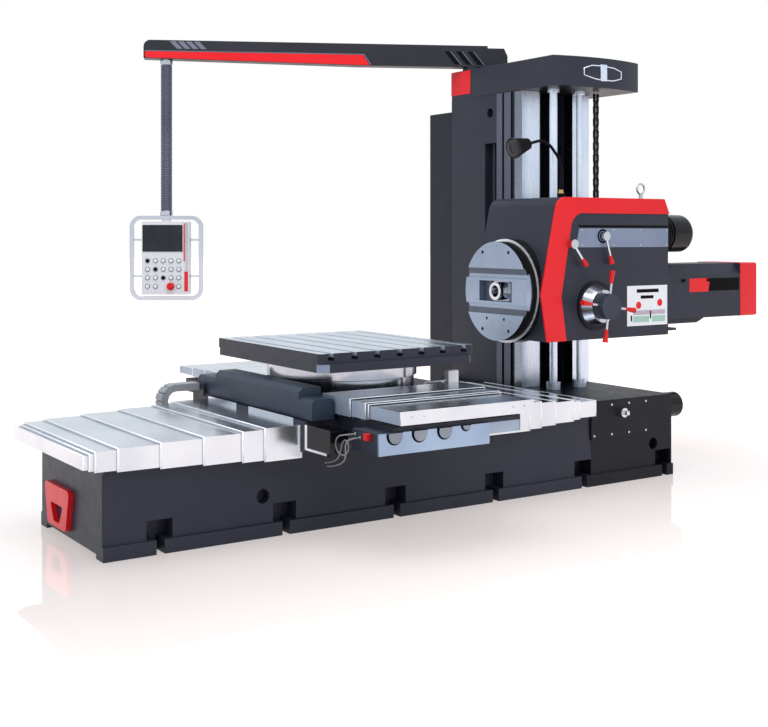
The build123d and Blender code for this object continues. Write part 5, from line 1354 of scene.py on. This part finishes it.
@dataclass
class Studio:
    """Floor, lamps, world and the camera at the photograph's angle."""

    camera_place: Point = (-3.8445, -5.7552, 1.5081)
    camera_turn_deg: float = -33.6
    lens: float = 56.95
    shift_y: float = -0.171
    view_end: float = 200.0
    floor_half: float = 60.0
    floor_tones: tuple[Colour, Colour] = ((0.93, 0.86, 0.84), (0.95, 0.88, 0.86))
    floor_drift: float = 0.6
    sky_levels: Range = (0.42, 0.80)
    sky_colour: Colour = (0.92, 0.96, 1.0)
    mirrored_sky: float = 0.93
    floor_glow: float = 1.35
    glow_colour: Colour = (1.0, 0.92, 0.90)
    glow_share: float = 0.6
    mirror_share: float = 0.42
    mirror_roughness: float = 0.03
    foot: Point = (1.85, 0.444, 0.0)
    mirror_fade: float = 2.1
    glow_fade: Range = (0.7, 2.6)
    lamps: tuple[Lamp, ...] = (
        Lamp("top_lamp", (-1.0, -0.5, 6.5), 5.0, 260.0, (0.0, 0.0, 0.6), (1.0, 1.0, 1.0), mirrored=True),
        Lamp("left_lamp", (-7.0, -2.0, 3.0), 3.5, 75.0, (0.0, 0.0, 1.0), (0.80, 0.89, 1.0)),
        Lamp("front_lamp", (1.5, -7.5, 3.2), 4.0, 160.0, (0.5, 0.0, 1.0), (0.93, 0.96, 1.0)))

    def camera(self) -> None:
        """Puts the camera where the photograph was taken."""
        data = bpy.data.cameras.new("photo_camera")
        data.lens = self.lens
        data.shift_y = self.shift_y
        data.clip_end = self.view_end
        camera = bpy.data.objects.new("photo_camera", data)
        camera.location = self.camera_place
        camera.rotation_euler = (math.pi / 2, 0.0, math.radians(self.camera_turn_deg))
        bpy.context.scene.collection.objects.link(camera)
        bpy.context.scene.camera = camera

    def build(self) -> None:
        """Sets up the world, the floor and the lamps."""
        self.world()
        self.floor()
        for lamp in self.lamps:
            lamp.hang()
        bpy.context.scene.view_settings.view_transform = "Standard"

    def world(self) -> None:
        """Makes a soft sky, brighter overhead, that the camera sees as white."""
        world = bpy.data.worlds.new("studio")
        bpy.context.scene.world = world
        graph = Graph(world)
        output = graph.add("ShaderNodeOutputWorld")
        split = graph.add("ShaderNodeSeparateXYZ")
        soft = graph.add("ShaderNodeBackground", Color=(*self.sky_colour, 1.0))
        white = graph.add("ShaderNodeBackground", Color=(1.0, 1.0, 1.0, 1.0), Strength=1.0)
        path = graph.add("ShaderNodeLightPath")
        strength = graph.add("ShaderNodeMix", B=self.mirrored_sky)
        strength.data_type = "FLOAT"
        graph.links.new(graph.coords.outputs["Generated"], split.inputs["Vector"])
        level = graph.spread(split.outputs["Z"], *self.sky_levels, 0.0, 1.0)
        graph.links.new(path.outputs["Is Glossy Ray"], strength.inputs["Factor"])
        graph.links.new(level, strength.inputs["A"])
        graph.links.new(strength.outputs["Result"], soft.inputs["Strength"])
        shown = graph.shaders(path.outputs["Is Camera Ray"], soft.outputs["Background"],
                              white.outputs["Background"])
        graph.links.new(shown, output.inputs["Surface"])

    def seen(self, graph: Graph) -> Socket:
        """A socket in the floor's tree that is 1 for the camera's and for glossy rays."""
        path = graph.add("ShaderNodeLightPath")
        return graph.maths("MAXIMUM", path.outputs["Is Camera Ray"], path.outputs["Is Glossy Ray"])

    def away_from_foot(self, graph: Graph) -> Socket:
        """Measures how far a point of the floor lies from the machine's foot.

        Args:
            graph: The floor material's tree.

        Returns:
            A socket with the distance in metres, 0 under the bed.
        """
        source = graph.coords.outputs["Object"]
        for operation, value in (("ABSOLUTE", None), ("SUBTRACT", self.foot), ("MAXIMUM", (0.0, 0.0, 0.0))):
            node = graph.add("ShaderNodeVectorMath")
            node.operation = operation
            graph.links.new(source, node.inputs[0])
            if value is not None:
                node.inputs[1].default_value = value
            source = node.outputs["Vector"]
        length = graph.add("ShaderNodeVectorMath")
        length.operation = "LENGTH"
        graph.links.new(source, length.inputs[0])
        return length.outputs["Value"]

    def floor(self) -> None:
        """Lays the pale floor, which keeps the shadow and a faint reflection and fades to white."""
        bpy.ops.object.select_all(action="DESELECT")
        bpy.ops.mesh.primitive_plane_add(size=2 * self.floor_half, location=(0, 0, 0))
        floor = bpy.context.object
        floor.name = "studio_floor"
        graph = Surface("pale_floor")
        graph.tone(graph.noise(self.floor_drift), *self.floor_tones)
        graph.set(Roughness=0.8, Specular_IOR_Level=0.1)
        glow = graph.add("ShaderNodeEmission", Color=(*self.glow_colour, 1.0), Strength=self.floor_glow)
        mirror = graph.add("ShaderNodeBsdfGlossy", Roughness=self.mirror_roughness)
        away, seen = self.away_from_foot(graph), self.seen(graph)
        fade = graph.spread(away, self.glow_share, 1.0, *self.glow_fade)
        lit = graph.shaders(graph.maths("MULTIPLY", fade, seen), graph.surface.outputs["BSDF"],
                            glow.outputs["Emission"])
        fade = graph.spread(away, self.mirror_share, 0.0, 0.0, self.mirror_fade)
        shown = graph.shaders(graph.maths("MULTIPLY", fade, seen), lit, mirror.outputs["BSDF"])
        graph.links.new(shown, graph.output.inputs["Surface"])
        floor.data.materials.append(graph.owner)


def main() -> None:
    """Builds the camera and the hoses first, then every sub-assembly and the studio."""
    logging.basicConfig(level=logging.INFO, format="%(name)s: %(message)s")
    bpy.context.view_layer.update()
    studio, saddle = Studio(), SaddleGroup()
    studio.camera()
    saddle.hoses()
    for group in (BedGroup(), ColumnGroup(), CoverGroup(), saddle, TableGroup(), HeadstockGroup(),
                  SpindleGroup(), ControlGroup(), PendantGroup(), studio):
        group.build()
        LOG.info("%s built", type(group).__name__)


if __name__ == "__main__":
    main()
